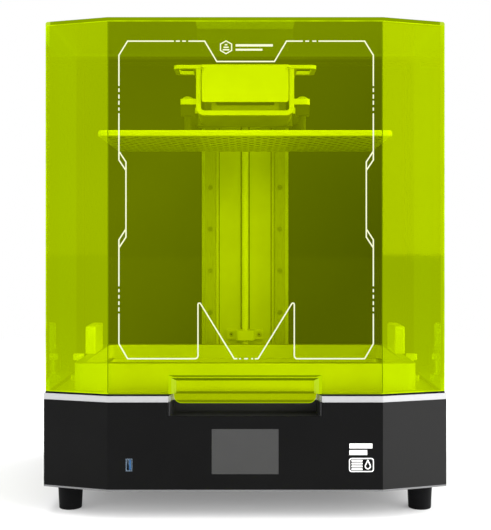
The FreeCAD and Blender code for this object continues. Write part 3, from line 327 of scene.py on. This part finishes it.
def acrylic(name, tint, veil, share, face, gloss=0.6, grazing=(0.10, 0.14, 0.0), deepen=0.0,
            seam=PAINTED_SEAM_GLOW, upper=PAINTED_EDGE_LIGHT, lower=PAINTED_EDGE_LIGHT, uneven_painted_glow=False):
    """Fluorescent acrylic, tinted and faintly glowing with a painted glow, with painted light on its outer
    cut edges.

    tint is what one face lets through, veil the colour of the light it gives off as a painted glow, share
    how much of it veils.
    face is the direction that its broad faces look along. deepen is how far a long path along
    the sheet turns it into the grazing colour, which it gives off as a painted glow. uneven: when set, the
    painted glow is stronger on the upper left than on the lower right.
    """
    n = Nodes(name)
    shadow = n.add("ShaderNodeLightPath").outputs["Is Shadow Ray"]
    passed = n.mix_color(shadow, tint, (0.93, 0.97, 0.55))
    cloud = n.ramp(n.noise(5.0, 2.0), 0.3, 0.7, 0.96, 1.04)
    see_through = n.add("ShaderNodeBsdfTransparent", {"Color": passed}).outputs[0]
    # painted glow: the sheet gives off the veil colour whatever light falls on it
    glow = n.add("ShaderNodeEmission", {"Color": veil, "Strength": cloud}).outputs[0]
    share_lit = n.math("MULTIPLY", share, n.ramp(shadow, 0.0, 1.0, 1.0, 0.35))
    # painted light: with uneven set, more glow on the upper left than on the lower right
    if uneven_painted_glow:
        place = n.add("ShaderNodeSeparateXYZ", {0: n.coords()})
        diagonal = n.math("SUBTRACT", place.outputs["Z"], place.outputs["X"])
        share_lit = n.math("MULTIPLY", share_lit, n.ramp(diagonal, VEIL_LOW, VEIL_HIGH, 0.70, 1.32))
    body = n.mix_shader(share_lit, see_through, glow)
    if deepen:
        slant = n.add("ShaderNodeLayerWeight", {"Blend": 0.5}).outputs["Facing"]
        long_path = n.ramp(slant, 0.55, 0.85, 0.0, deepen)
        long_path = n.math("MULTIPLY", long_path, n.ramp(shadow, 0.0, 1.0, 1.0, 0.0))
        # the grazing colour is given off as a painted glow
        deep = n.add("ShaderNodeEmission", {"Color": grazing, "Strength": 1.0}).outputs[0]
        body = n.mix_shader(long_path, body, deep)
    polish = n.ramp(n.noise(30.0, 4.0), 0.4, 0.8, 0.015, 0.05)
    shine = n.add("ShaderNodeBsdfGlossy", {"Color": (0.80, 0.92, 0.0), "Roughness": polish})
    fresnel = n.math("MULTIPLY", n.add("ShaderNodeFresnel", {"IOR": 1.49}).outputs[0], gloss)
    broad = n.mix_shader(fresnel, body, shine.outputs[0])
    normal = n.coords("Normal")
    facing = n.add("ShaderNodeVectorMath", {0: normal, 1: face}, operation="DOT_PRODUCT")
    on_edge = n.ramp(n.math("ABSOLUTE", facing.outputs["Value"]), 0.5, 0.7, 1.0, 0.0)
    towards = n.add("ShaderNodeSeparateXYZ", {0: normal})
    level_edge = n.ramp(n.math("ABSOLUTE", towards.outputs["Z"]), 0.3, 0.6)
    rear_edge = n.ramp(towards.outputs["Y"], 0.75, 0.9)
    across = n.add("ShaderNodeSeparateXYZ", {0: n.coords()}).outputs["X"]
    outer_edge = n.ramp(n.math("ABSOLUTE", across), OUTER_SEAM - MM, OUTER_SEAM)
    # Cut edges give off painted light: the edge colour on rear and outer edges, the seam colour elsewhere,
    # and the upper and lower colours where they look up or down.
    edge_color = n.mix_color(n.math("MAXIMUM", rear_edge, outer_edge), seam, PAINTED_EDGE_LIGHT)
    level_color = n.mix_color(n.ramp(towards.outputs["Z"], -0.1, 0.1), lower, upper)
    edge_color = n.mix_color(level_edge, edge_color, level_color)
    painted_edge_glow = n.add("ShaderNodeEmission", {"Color": edge_color, "Strength": 1.0}).outputs[0]
    edge_clear = n.add("ShaderNodeBsdfTransparent", {"Color": (0.6, 0.75, 0.05)}).outputs[0]
    cut_edge = n.mix_shader(0.75, edge_clear, painted_edge_glow)
    return n.finish(n.mix_shader(on_edge, broad, cut_edge))


def printed_ink(name):
    """White screen-printed ink, mostly given off as a painted glow."""
    n = Nodes(name)
    thin = n.ramp(n.noise(900.0, 2.0), 0.2, 0.8, 0.93, 1.0)
    color = n.mix_color(thin, (0.86, 0.92, 0.50), (0.97, 1.0, 0.66))
    diffuse = n.add("ShaderNodeBsdfDiffuse", {"Color": color}).outputs[0]
    glow = n.add("ShaderNodeEmission", {"Color": color, "Strength": 0.9}).outputs[0]
    return n.finish(n.mix_shader(0.85, diffuse, glow))


def painted_joint_glow(name):
    """Painted light of a bright seam line, varying a little along its length."""
    n = Nodes(name)
    uneven_painted_glow = n.ramp(n.noise(45.0, 4.0), 0.35, 0.65, 0.55, 1.05)
    glow = n.add("ShaderNodeEmission", {"Color": (0.75, 1.0, 0.12), "Strength": uneven_painted_glow}).outputs[0]
    skin = n.add("ShaderNodeBsdfDiffuse", {"Color": (0.5, 0.7, 0.05)}).outputs[0]
    return n.finish(n.mix_shader(0.8, skin, glow))


def badge_ink(name):
    n = Nodes(name)
    color = varied(n, (0.88, 0.88, 0.87), 0.03, 300.0)
    return n.finish(principled(n, color, 0.5, bump=n.noise(1200.0, 2.0), bump_height=0.01))


MATERIALS = {
    # black: painted light on faces that look right; housing: painted light on its downward faces and along a
    # band at its top
    "black": powder_coat("black_powder_coat", (0.002, 0.002, 0.0021), 0.42,
                         right=(0.021, 0.021, 0.021)),
    "housing": powder_coat("housing_black", (0.002, 0.002, 0.0021), 0.42, (0.06, 0.06, 0.06),
                           HOUSING_TOP - PAINTED_LIGHT_BAND),
    "inner_black": powder_coat("inner_black", (0.012, 0.012, 0.012), 0.6),
    "zinc": brushed("zinc_sheet", (0.16, 0.16, 0.165), 0.4, (60.0, 1.0, 60.0), 0.5),
    "deck": brushed("deck_aluminium", (0.36, 0.36, 0.37), 0.36, (1.0, 60.0, 60.0), 0.4),
    "liner": plastic("liner_black", (0.008, 0.008, 0.009), 0.5),
    "rubber": rubber("rubber"),
    "steel": brushed("fastener_steel", (0.62, 0.62, 0.62), 0.28, (1.0, 1.0, 1.0), 0.5, 2500.0),
    "screen": glossy_panel("screen_glass", (0.030, 0.030, 0.030)),
    "port_metal": brushed("port_metal", (0.20, 0.27, 0.35), 0.30, (60.0, 1.0, 60.0), 0.6),
    "blue": plastic("usb_blue", (0.012, 0.075, 0.20), 0.40),
    "plastic": plastic("black_plastic", (0.016, 0.016, 0.017), 0.42),
    "light_box": blasted("light_box", (0.5, 0.5, 0.52)),
    "lens": clear_sheet("lens_plastic", (0.93, 0.94, 0.97), (0.8, 0.8, 0.85)),
    "sink": blasted("heat_sink", (0.10, 0.10, 0.11)),
    "psu": brushed("psu_case", (0.66, 0.66, 0.67), 0.38, (1.0, 60.0, 60.0)),
    "board": plastic("circuit_board", (0.015, 0.13, 0.05), 0.4, 200.0),
    "lcd": glossy_panel("mask_panel", (0.01, 0.01, 0.013)),
    "glass": clear_sheet("cover_glass", (0.93, 0.96, 0.95), (0.05, 0.06, 0.06), 0.05),
    "vat": vat_metal("vat_aluminium"),
    "film": clear_sheet("release_film", (0.90, 0.93, 0.95), (0.10, 0.10, 0.10), 0.15),
    "column": blasted("column_aluminium", (0.72, 0.73, 0.74), 0.42, 0.15),
    "rail": brushed("rail_steel", (0.44, 0.44, 0.45), 0.3, (60.0, 60.0, 1.0), 0.35),
    "block": blasted("block_steel", (0.78, 0.78, 0.79), 0.4, 0.2),
    "motor": powder_coat("motor_black", (0.02, 0.02, 0.022), 0.4),
    "screw": brushed("screw_steel", (0.97, 0.97, 0.97), 0.14, (1.0, 1.0, 1.0), 0.15, 3000.0),
    "carriage": brushed("carriage_steel", (0.30, 0.31, 0.32), 0.3, (1.0, 60.0, 60.0), 0.4),
    # arm and bracket: painted shade on faces that look down
    "arm": blasted("arm_aluminium", (0.30, 0.30, 0.31), 0.42, 0.3, 0.4),
    "bracket": blasted("bracket_aluminium", (0.74, 0.74, 0.75), 0.38, 0.15, 0.35),
    "plate": drilled_plate("plate_aluminium", (0.72, 0.72, 0.73)),
    "grip": blasted("grip_aluminium", (0.90, 0.90, 0.91), 0.4, 0.2),
    "dark_steel": blasted("dark_steel", (0.05, 0.05, 0.052), 0.45, 0.3),
    # Hood sheets: each gives off a painted glow, and its cut edges painted light.
    "front": acrylic("acrylic_front", (0.87, 0.93, 0.0), (0.76, 0.98, 0.0), 0.072, (0.0, 1.0, 0.0), 0.2,
                     lower=(0.74, 1.0, 0.0), uneven_painted_glow=True),
    "chamfer": acrylic("acrylic_chamfer", (0.83, 0.90, 0.0), (0.81, 1.10, 0.0), 0.22, (0.0, 1.0, 0.0)),
    "side": acrylic("acrylic_side", (0.80, 0.88, 0.0), (0.58, 0.80, 0.0), 0.12, (1.0, 0.0, 0.0), 1.4,
                    (0.10, 0.14, 0.0), 0.95),
    "top": acrylic("acrylic_top", (0.80, 0.88, 0.0), (0.50, 0.62, 0.0), 0.10, (0.0, 0.0, 1.0), 0.6,
                   (0.12, 0.15, 0.0), 0.9, (0.30, 0.42, 0.0)),
    # lip: pale painted light on its seams and upper cut edges, painted shade on those that look down
    "lip": acrylic("acrylic_lip", (0.86, 0.91, 0.0), (0.72, 0.95, 0.0), 0.12, (0.0, 1.0, 0.0), 0.3,
                   seam=(0.60, 0.80, 0.03), upper=(0.66, 0.90, 0.0), lower=(0.08, 0.11, 0.0)),
    "ink": printed_ink("white_ink"),
    "badge": badge_ink("badge_ink"),
    "joint": painted_joint_glow("painted_joint_glow"),
}

NODE_MATERIALS = {
    "base_shell": "black", "rear_housing": "housing", "rear_cover": "black", "back_wall": "inner_black",
    "bottom_plate": "zinc", "deck_plate": "deck", "notch_liner": "liner", "rubber_feet": "rubber",
    "foot_screws": "steel", "screen_glass": "screen", "screen_module": "plastic",
    "usb_shell": "port_metal", "usb_tongue": "blue", "power_inlet": "plastic",
    "switch_bezel": "plastic", "switch_rocker": "plastic", "light_engine_housing": "light_box",
    "lens_array": "lens", "heat_sink": "sink", "fan_frame": "plastic", "fan_rotor": "plastic",
    "power_supply": "psu", "main_board": "board", "mask_lcd": "lcd", "lcd_glass": "glass",
    "vat_frame": "vat", "film_frame": "block", "release_film": "film", "film_screws": "steel",
    "vat_grips": "grip", "column": "column", "linear_rails": "rail", "rail_screws": "carriage",
    "bearing_blocks": "block", "screw_bearings": "steel", "z_motor": "motor", "motor_shaft": "steel",
    "shaft_coupler": "column", "lead_screw": "screw", "limit_switch": "plastic",
    "rail_carriages": "carriage", "carriage_plate": "arm", "ball_nut": "carriage",
    "cantilever_arm": "arm", "plate_bracket": "bracket", "bracket_cap": "bracket",
    "levelling_posts": "dark_steel", "levelling_nuts": "steel", "build_plate": "plate",
    "lid_front_panel": "front", "lid_chamfer_panels": "chamfer", "lid_side_panels": "side",
    "lid_top_panel": "top", "lid_handle_lip": "lip", "lid_gasket": "rubber",
    "hinge_lid_leaves": "motor", "hinge_base_leaves": "motor", "hinge_pins": "steel",
    "thumbscrew_left": "grip", "thumbscrew_right": "grip",
}


def dress_nodes():
    for name, key in NODE_MATERIALS.items():
        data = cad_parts[name].data
        data.materials.clear()
        data.materials.append(MATERIALS[key])


# ---------------------------------------------------------------- mesh helpers
def add_mesh(name, bm, material, body, smooth=False):
    """Closes a bmesh into a named piece that rides on a body."""
    bmesh.ops.recalc_face_normals(bm, faces=bm.faces)
    mesh = bpy.data.meshes.new(name)
    bm.to_mesh(mesh)
    bm.free()
    for polygon in mesh.polygons:
        polygon.use_smooth = smooth
    mesh.materials.append(MATERIALS[material])
    piece = bpy.data.objects.new(name, mesh)
    bpy.context.scene.collection.objects.link(piece)
    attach(piece, body)
    return piece


def stroke(bm, points, width, closed=False, y=FRONT_Y, thickness=PRINT_T):
    """A flat printed line through (x, z) points in mm, mitred at its corners, standing on a front face."""
    pts = [Vector((x * MM, z * MM)) for x, z in points]
    count = len(pts)
    sides = []
    for i, p in enumerate(pts):
        before = pts[i - 1] if (i > 0 or closed) else None
        after = pts[(i + 1) % count] if (i < count - 1 or closed) else None
        d0 = (p - before).normalized() if before is not None else (after - p).normalized()
        d1 = (after - p).normalized() if after is not None else d0
        normal = Vector((-(d0.y + d1.y), d0.x + d1.x)).normalized()
        reach = width / 2 / max(0.3, normal.dot(Vector((-d0.y, d0.x))))
        sides.append((p + normal * reach, p - normal * reach))
    rings = []
    for left, right in sides:
        rings.append([bm.verts.new((q.x, yy, q.y)) for q in (left, right) for yy in (y, y - thickness)])
    last = count if closed else count - 1
    for i in range(last):
        a, b = rings[i], rings[(i + 1) % count]
        for u, v in ((0, 1), (1, 3), (3, 2), (2, 0)):
            bm.faces.new((a[u], a[v], b[v], b[u]))
    if not closed:
        for ring in (rings[0], rings[-1]):
            bm.faces.new((ring[0], ring[1], ring[3], ring[2]))


def arc(cx, cz, radius, start, end, steps=6):
    """Points on an arc in the front plane, in mm and degrees."""
    points = []
    for i in range(steps + 1):
        angle = math.radians(start + (end - start) * i / steps)
        points.append((cx + radius * math.cos(angle), cz + radius * math.sin(angle)))
    return points


# ---------------------------------------------------------------- printed border
BORDER_X = 145.6              # the side lines
BORDER_IN = 137.5             # where they step inwards half way up
BORDER_TOP = 550.6
BORDER_LOW = 184.2
BORDER_CORNER = 135.6
NOTCH_LINE = 527.1            # the dip round the mark at the top
PEAK_X = 54.4
PEAK_TOP = 248.4
DIAGONAL_FOOT = 12.6
PRINT_DRIFT = 2.3             # how far the right half is moved over
TOP_DRIFT = 1.1


def border_paths():
    """The right half of the border, as open paths in mm."""
    rise = arc(PEAK_X + 3.5, BORDER_LOW + 3.5, 3.5, 270, 180, 4)
    crown = arc(PEAK_X - 1.6, PEAK_TOP - 1.6, 1.6, 0, 140, 5)
    return [
        [(0, NOTCH_LINE), (32.7, NOTCH_LINE), (46.7, BORDER_TOP), (65.5, BORDER_TOP)],
        [(68.3, BORDER_TOP), (72.7, BORDER_TOP)],
        [(75.2, BORDER_TOP), (79.9, BORDER_TOP)],
        [(82.2, BORDER_TOP), (BORDER_CORNER, BORDER_TOP), (BORDER_X, 534.4), (BORDER_X, 498.8)],
        [(BORDER_X, 496.2), (BORDER_X, 491.9)],
        [(BORDER_X, 489.0), (BORDER_X, 484.2)],
        [(BORDER_X, 481.8), (BORDER_X, 477.2)],
        [(BORDER_X, 474.0), (BORDER_X, 470.4)],
        [(BORDER_X, 467.3), (BORDER_X, 413.5), (BORDER_IN, 401.4)],
        [(BORDER_X, 423.6), (BORDER_IN, 411.2), (BORDER_IN, 324.5), (BORDER_X, 312.1)],
        [(BORDER_IN, 334.0), (BORDER_X, 321.4), (BORDER_X, 267.8)],
        [(BORDER_X, 264.6), (BORDER_X, 261.0)],
        [(BORDER_X, 257.8), (BORDER_X, 253.6)],
        [(BORDER_X, 250.5), (BORDER_X, 246.2)],
        [(BORDER_X, 243.5), (BORDER_X, 238.9)],
        [(BORDER_X, 236.2), (BORDER_X, 201.5), (BORDER_CORNER, BORDER_LOW)] + rise + crown
        + [(DIAGONAL_FOOT, BORDER_LOW), (DIAGONAL_FOOT - 3.6, BORDER_LOW)],
        [(4.8, BORDER_LOW), (6.8, BORDER_LOW)],
    ]


def printed_border():
    """Both halves of the border; the print sits a little to the right of the panel's middle."""
    bm = bmesh.new()
    for path in border_paths():
        x, z = path[0]
        near_mark = z > NOTCH_LINE - 1 and x < BORDER_X / 2
        drift = TOP_DRIFT if near_mark else PRINT_DRIFT
        right = [(px + drift, pz) for px, pz in path]
        if x == 0:
            stroke(bm, [(-px, pz) for px, pz in reversed(path[1:])] + right[1:], LINE_W * MM)
            continue
        stroke(bm, right, LINE_W * MM)
        stroke(bm, [(-px, pz) for px, pz in path], LINE_W * MM)
    middle = PRINT_DRIFT / 2
    stroke(bm, [(middle - 2.2, BORDER_LOW), (middle + 2.2, BORDER_LOW)], LINE_W * MM)
    add_mesh("printed_border", bm, "ink", "lid")


def hood_mark():
    """A generic mark: a hexagon round three printed layers, and two plain bars beside it."""
    bm = bmesh.new()
    x, z, r = -22.0, 543.5, 7.4
    hexagon = [(x + r * math.cos(math.radians(a)), z + r * math.sin(math.radians(a)))
               for a in range(30, 390, 60)]
    stroke(bm, hexagon, 1.3 * MM, closed=True)
    for k, half in enumerate((3.8, 2.9, 1.5)):
        stroke(bm, [(x - half, z - 2.9 + 2.9 * k), (x + half, z - 2.9 + 2.9 * k)], 1.5 * MM)
    for length, dz, width in ((43.0, 2.2, 2.6), (31.0, -2.8, 2.2)):
        stroke(bm, [(x + 11, z + dz), (x + 11 + length, z + dz)], width * MM)
    add_mesh("hood_mark", bm, "ink", "lid")


def base_mark():
    """A generic badge: two plain bars over a framed stack of layers and a drop."""
    bm = bmesh.new()
    x, z = 134.2, 61.6
    corners = []
    for sx, sz, start in ((1, 1, 0), (-1, 1, 90), (-1, -1, 180), (1, -1, 270)):
        corners += arc(x + sx * 11.2, z + sz * 4.9, 2.6, start, start + 90, 4)
    stroke(bm, corners, 1.1 * MM, closed=True)
    for k in range(4):
        stroke(bm, [(x - 11.4, z - 4.9 + 3.3 * k), (x + 1.2, z - 4.9 + 3.3 * k)], 2.0 * MM)
    drop = arc(x + 7.4, z - 1.4, 3.0, 150, 390, 12) + [(x + 7.4, z + 5.4)]
    stroke(bm, drop, 1.2 * MM, closed=True)
    stroke(bm, [(x - 13.9, 83.6), (x + 12.6, 83.6)], 5.6 * MM)
    stroke(bm, [(x - 13.9, 76.0), (x + 6.6, 76.0)], 5.6 * MM)
    add_mesh("base_mark", bm, "badge", "root")


# ---------------------------------------------------------------- lead screw
def thread_profile():
    """One lead of a two-start rounded groove: (share of the lead, depth from the crest in mm)."""
    points = []
    for start in (0.0, 0.5):
        points.append((start, 0.0))
        for i in range(7):
            points.append((start + 0.16 + 0.18 * i / 6, 0.35 * math.sin(math.pi * i / 6)))
    return points


def threaded_screw():
    """The ball screw with a real helical groove, in place of the plain CAD cylinder."""
    radius = (SCREW_HI.x - SCREW_LO.x) / 2 - 0.02 * MM
    cx = (SCREW_LO.x + SCREW_HI.x) / 2
    cy = (SCREW_LO.y + SCREW_HI.y) / 2
    low = BLOCKS_LO.z + THREAD_INSET
    high = BLOCKS_HI.z - THREAD_INSET
    around = 24
    profile = thread_profile()
    bm = bmesh.new()
    turns = int((high - low) / SCREW_LEAD)
    rows = []
    for turn in range(turns * around + 1):
        angle = 2 * math.pi * turn / around
        base = low + SCREW_LEAD * turn / around
        row = []
        for share, depth in profile:
            r = radius - depth * MM
            z = min(high, base + share * SCREW_LEAD)
            row.append(bm.verts.new((cx + r * math.cos(angle), cy - r * math.sin(angle), z)))
        rows.append(row)
    for i in range(len(rows) - 1):
        a, b = rows[i], rows[i + 1]
        for k in range(len(profile) - 1):
            bm.faces.new((a[k], b[k], b[k + 1], a[k + 1]))
    for i in range(len(rows) - around - 1):
        a, b = rows[i], rows[i + 1]
        c, d = rows[i + around], rows[i + around + 1]
        bm.faces.new((a[-1], b[-1], d[0], c[0]))
    for z0, z1, r in ((SCREW_LO.z, low + SCREW_LEAD, JOURNAL_R), (high - SCREW_LEAD, SCREW_HI.z, JOURNAL_R),
                      (low - 0.5 * MM, high + 0.5 * MM, JOURNAL_R - 0.6 * MM)):
        add_rod(bm, cx, cy, z0, z1, r)
    for z in (low - 0.5 * MM, high - 1.0 * MM):
        add_rod(bm, cx, cy, z, z + 1.5 * MM, radius - 0.3 * MM)
    piece = add_mesh("threaded_screw", bm, "screw", "lead_screw", smooth=True)
    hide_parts("lead_screw")


def add_rod(bm, x, y, z0, z1, r, segments=32, bevel=0.3 * MM):
    """A closed upright rod with chamfered ends."""
    levels = [(z0, r - bevel), (z0 + bevel, r), (z1 - bevel, r), (z1, r - bevel)]
    rings = []
    for z, rr in levels:
        ring = []
        for i in range(segments):
            a = 2 * math.pi * i / segments
            ring.append(bm.verts.new((x + rr * math.cos(a), y + rr * math.sin(a), z)))
        rings.append(ring)
    for a, b in zip(rings, rings[1:]):
        for i in range(segments):
            j = (i + 1) % segments
            bm.faces.new((a[i], a[j], b[j], b[i]))
    bm.faces.new(list(reversed(rings[0])))
    bm.faces.new(rings[-1])


# ---------------------------------------------------------------- small details
def add_block(bm, x0, x1, y0, y1, z0, z1, chamfer):
    """A box with chamfered edges."""
    cube = bmesh.ops.create_cube(bm, size=1.0)["verts"]
    centre = Vector(((x0 + x1) / 2, (y0 + y1) / 2, (z0 + z1) / 2))
    for v in cube:
        v.co = centre + Vector((v.co.x * (x1 - x0), v.co.y * (y1 - y0), v.co.z * (z1 - z0)))
    edges = list({e for v in cube for e in v.link_edges})
    bmesh.ops.bevel(bm, geom=edges, offset=chamfer, segments=2, profile=0.5, affect="EDGES")


def rail_shoulders():
    """Ground shoulders that locate the rails, with a narrow dark strip of painted shade beside each, and a
    wider one behind the screw.
    """
    rails_lo, rails_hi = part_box("linear_rails")
    shoulder = rails_hi.x - RAIL_W - 0.3 * MM
    bright = bmesh.new()
    # the strips in dark are painted shade
    dark = bmesh.new()
    groove = shoulder - SHOULDER_W
    back = COLUMN_FACE + BURIED
    for side in (-1, 1):
        x0, x1 = sorted((side * groove, side * shoulder))
        add_block(bright, x0, x1, COLUMN_FACE - SHOULDER_OUT, back, rails_lo.z, rails_hi.z, 0.5 * MM)
        x0, x1 = sorted((side * (groove - GROOVE_W), side * groove))
        add_block(dark, x0, x1, COLUMN_FACE - GROOVE_OUT, back, rails_lo.z, rails_hi.z, 0.1 * MM)
    # painted shade: a dark strip behind the screw
    add_block(dark, -SCREW_SHADE_HALF, SCREW_SHADE_HALF, COLUMN_FACE - GROOVE_OUT, back,
              BLOCKS_LO.z + THREAD_INSET - BURIED, BLOCKS_HI.z - THREAD_INSET + BURIED, 0.1 * MM)
    add_mesh("rail_shoulders", bright, "bracket", "root")
    add_mesh("shoulder_shade_strips", dark, "dark_steel", "root")


def socket_screw(bm, socket_shades, centre, axis, radius, height):
    """A cap screw head with a chamfered rim, and a dark hexagon that paints the shade in its socket."""
    turn = Vector((0, 0, 1)).rotation_difference(Vector(axis)).to_matrix().to_4x4()
    place = Matrix.Translation(Vector(centre)) @ turn
    start = len(bm.verts)
    add_rod(bm, 0.0, 0.0, 0.0, height, radius, 28, 0.35 * MM)
    bm.verts.ensure_lookup_table()
    for v in list(bm.verts)[start:]:
        v.co = place @ v.co
    ring = [place @ Vector((0.52 * radius * math.cos(math.radians(60 * i)),
                            0.52 * radius * math.sin(math.radians(60 * i)), height + 0.05 * MM))
            for i in range(6)]
    low = [p - (place.to_3x3() @ Vector((0, 0, 0.6 * MM))) for p in ring]
    top = [socket_shades.verts.new(p) for p in ring]
    bottom = [socket_shades.verts.new(p) for p in low]
    socket_shades.faces.new(top)
    socket_shades.faces.new(list(reversed(bottom)))
    for i in range(6):
        j = (i + 1) % 6
        socket_shades.faces.new((top[i], bottom[i], bottom[j], top[j]))


def bearing_screws():
    """Cap screws in the counterbores of both screw bearing blocks."""
    heads = bmesh.new()
    socket_shades = bmesh.new()
    for z in (BLOCKS_LO.z + 7 * MM, BLOCKS_HI.z - 7 * MM):
        for x in (-20 * MM, 20 * MM):
            place = (x, BLOCKS_HI.y - 5 * MM, z)
            socket_screw(heads, socket_shades, place, (0, -1, 0), 2.75 * MM, 3.0 * MM)
    add_mesh("bearing_cap_screws", heads, "steel", "root")
    # the socket hexagons are dark: painted shade
    add_mesh("bearing_socket_shade", socket_shades, "dark_steel", "root")


def edge_strip(bm, a, b, half):
    """A square bar between two points."""
    a, b = Vector(a), Vector(b)
    along = (b - a).normalized()
    side = along.orthogonal().normalized()
    up = along.cross(side)
    rings = []
    for p in (a, b):
        rings.append([bm.verts.new(p + (side * u + up * v) * half)
                      for u, v in ((-1, -1), (1, -1), (1, 1), (-1, 1))])
    for i in range(4):
        j = (i + 1) % 4
        bm.faces.new((rings[0][i], rings[0][j], rings[1][j], rings[1][i]))
    bm.faces.new(list(reversed(rings[0])))
    bm.faces.new(rings[1])


def hood_joints():
    """Strips of painted light along the cemented joints of the hood, where the light gathers."""
    side_lo, side_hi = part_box("lid_side_panels")
    top_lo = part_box("lid_top_panel")[0]
    front = FRONT_LO.y + JOINT_INSET
    corner = (side_hi.x - JOINT_INSET, side_lo.y + JOINT_INSET)
    middle = FRONT_HI.x - JOINT_INSET
    z = top_lo.z - 0.2 * MM
    low = side_lo.z + JOINT_INSET
    bm = bmesh.new()
    edge_strip(bm, (-middle, front, z), (middle, front, z), JOINT_HALF)
    for s in (-1, 1):
        for level in (low, z):
            edge_strip(bm, (s * middle, front, level), (s * corner[0], corner[1], level), JOINT_HALF)
        edge_strip(bm, (s * corner[0], corner[1], side_lo.z), (s * corner[0], corner[1], z), JOINT_HALF)
    add_mesh("hood_joints", bm, "joint", "lid")


# ---------------------------------------------------------------- stage, light and camera
def stage_floor():
    bm = bmesh.new()
    size = 30.0
    for x, y in ((-size, -size), (size, -size), (size, size), (-size, size)):
        bm.verts.new((x, y, 0.0))
    bm.faces.new(bm.verts)
    mesh = bpy.data.meshes.new("floor")
    bm.to_mesh(mesh)
    bm.free()
    n = Nodes("floor")
    diffuse = n.add("ShaderNodeBsdfDiffuse", {"Color": (FLOOR_TONE,) * 3}).outputs[0]
    lift = n.add("ShaderNodeEmission", {"Color": (1.0, 1.0, 1.0), "Strength": FLOOR_LIFT}).outputs[0]
    diffuse = n.add("ShaderNodeAddShader", {0: diffuse, 1: lift}).outputs[0]
    mirrored = n.add("ShaderNodeLightPath").outputs["Is Glossy Ray"]
    across = n.add("ShaderNodeSeparateXYZ", {0: n.coords()}).outputs["X"]
    for start, stop, strength in CARDS:
        card = n.math("MULTIPLY", mirrored, n.ramp(across, start, stop, 0.0, strength))
        card = n.add("ShaderNodeEmission", {"Color": (1.0, 1.0, 1.0), "Strength": card}).outputs[0]
        diffuse = n.add("ShaderNodeAddShader", {0: diffuse, 1: card}).outputs[0]
    white = n.add("ShaderNodeEmission", {"Color": (1.0, 1.0, 1.0), "Strength": 1.0}).outputs[0]
    reach = n.add("ShaderNodeVectorMath", {0: n.coords()}, operation="LENGTH").outputs["Value"]
    n.finish(n.mix_shader(n.ramp(reach, FLOOR_NEAR, FLOOR_FAR), diffuse, white))
    mesh.materials.append(n.material)
    floor = bpy.data.objects.new("floor", mesh)
    bpy.context.scene.collection.objects.link(floor)


def area_light(name, location, size_x, size_y, power):
    data = bpy.data.lights.new(name, "AREA")
    data.shape = "RECTANGLE"
    data.size = size_x
    data.size_y = size_y
    data.energy = power
    light = bpy.data.objects.new(name, data)
    bpy.context.scene.collection.objects.link(light)
    light.location = location
    light.visible_glossy = False
    direction = LIGHT_AIM - Vector(location)
    light.rotation_euler = direction.to_track_quat("-Z", "Y").to_euler()


def world_light():
    """White behind the object; for light, a dim front and softly brighter sides and top."""
    world = bpy.data.worlds.new("studio")
    bpy.context.scene.world = world
    world.use_nodes = True
    tree = world.node_tree
    tree.nodes.clear()
    links = tree.links
    output = tree.nodes.new("ShaderNodeOutputWorld")
    direction = tree.nodes.new("ShaderNodeTexCoord").outputs["Generated"]
    axes = tree.nodes.new("ShaderNodeSeparateXYZ")
    links.new(direction, axes.inputs[0])
    total = None
    for axis, start, stop, strength in WORLD_LOBES:
        lobe = tree.nodes.new("ShaderNodeMapRange")
        lobe.interpolation_type = "SMOOTHSTEP"
        links.new(axes.outputs[axis], lobe.inputs[0])
        for k, value in enumerate((start, stop, 0.0, strength)):
            lobe.inputs[k + 1].default_value = value
        added = tree.nodes.new("ShaderNodeMath")
        added.operation = "ADD"
        added.inputs[0].default_value = WORLD_FLOOR
        if total is not None:
            links.new(total, added.inputs[0])
        links.new(lobe.outputs[0], added.inputs[1])
        total = added.outputs[0]
    lit = tree.nodes.new("ShaderNodeBackground")
    links.new(total, lit.inputs["Strength"])
    seen = tree.nodes.new("ShaderNodeBackground")
    seen.inputs["Color"].default_value = (1.0, 1.0, 1.0, 1.0)
    seen.inputs["Strength"].default_value = 1.0
    lit.inputs["Color"].default_value = (1.0, 1.0, 1.0, 1.0)
    path = tree.nodes.new("ShaderNodeLightPath")
    mix = tree.nodes.new("ShaderNodeMixShader")
    links.new(path.outputs["Is Camera Ray"], mix.inputs[0])
    links.new(lit.outputs[0], mix.inputs[1])
    links.new(seen.outputs[0], mix.inputs[2])
    links.new(mix.outputs[0], output.inputs["Surface"])


def lights():
    for box in BOXES:
        area_light(*box)


def camera():
    data = bpy.data.cameras.new("camera")
    data.sensor_width = 36.0
    data.lens = FOCAL_MM
    data.shift_x = SHIFT_X
    data.shift_y = SHIFT_Y
    data.clip_start = 0.05
    data.clip_end = 60.0
    cam = bpy.data.objects.new("camera", data)
    bpy.context.scene.collection.objects.link(cam)
    cam.location = (0.0, FRONT_Y - CAMERA_DISTANCE, CAMERA_HEIGHT)
    cam.rotation_euler = (math.radians(90), 0.0, 0.0)
    bpy.context.scene.camera = cam


def build():
    bpy.context.scene.view_settings.view_transform = "Standard"
    camera()
    world_light()
    lights()
    stage_floor()
    dress_nodes()
    printed_border()
    hood_mark()
    base_mark()
    threaded_screw()
    rail_shoulders()
    bearing_screws()
    hood_joints()


build()
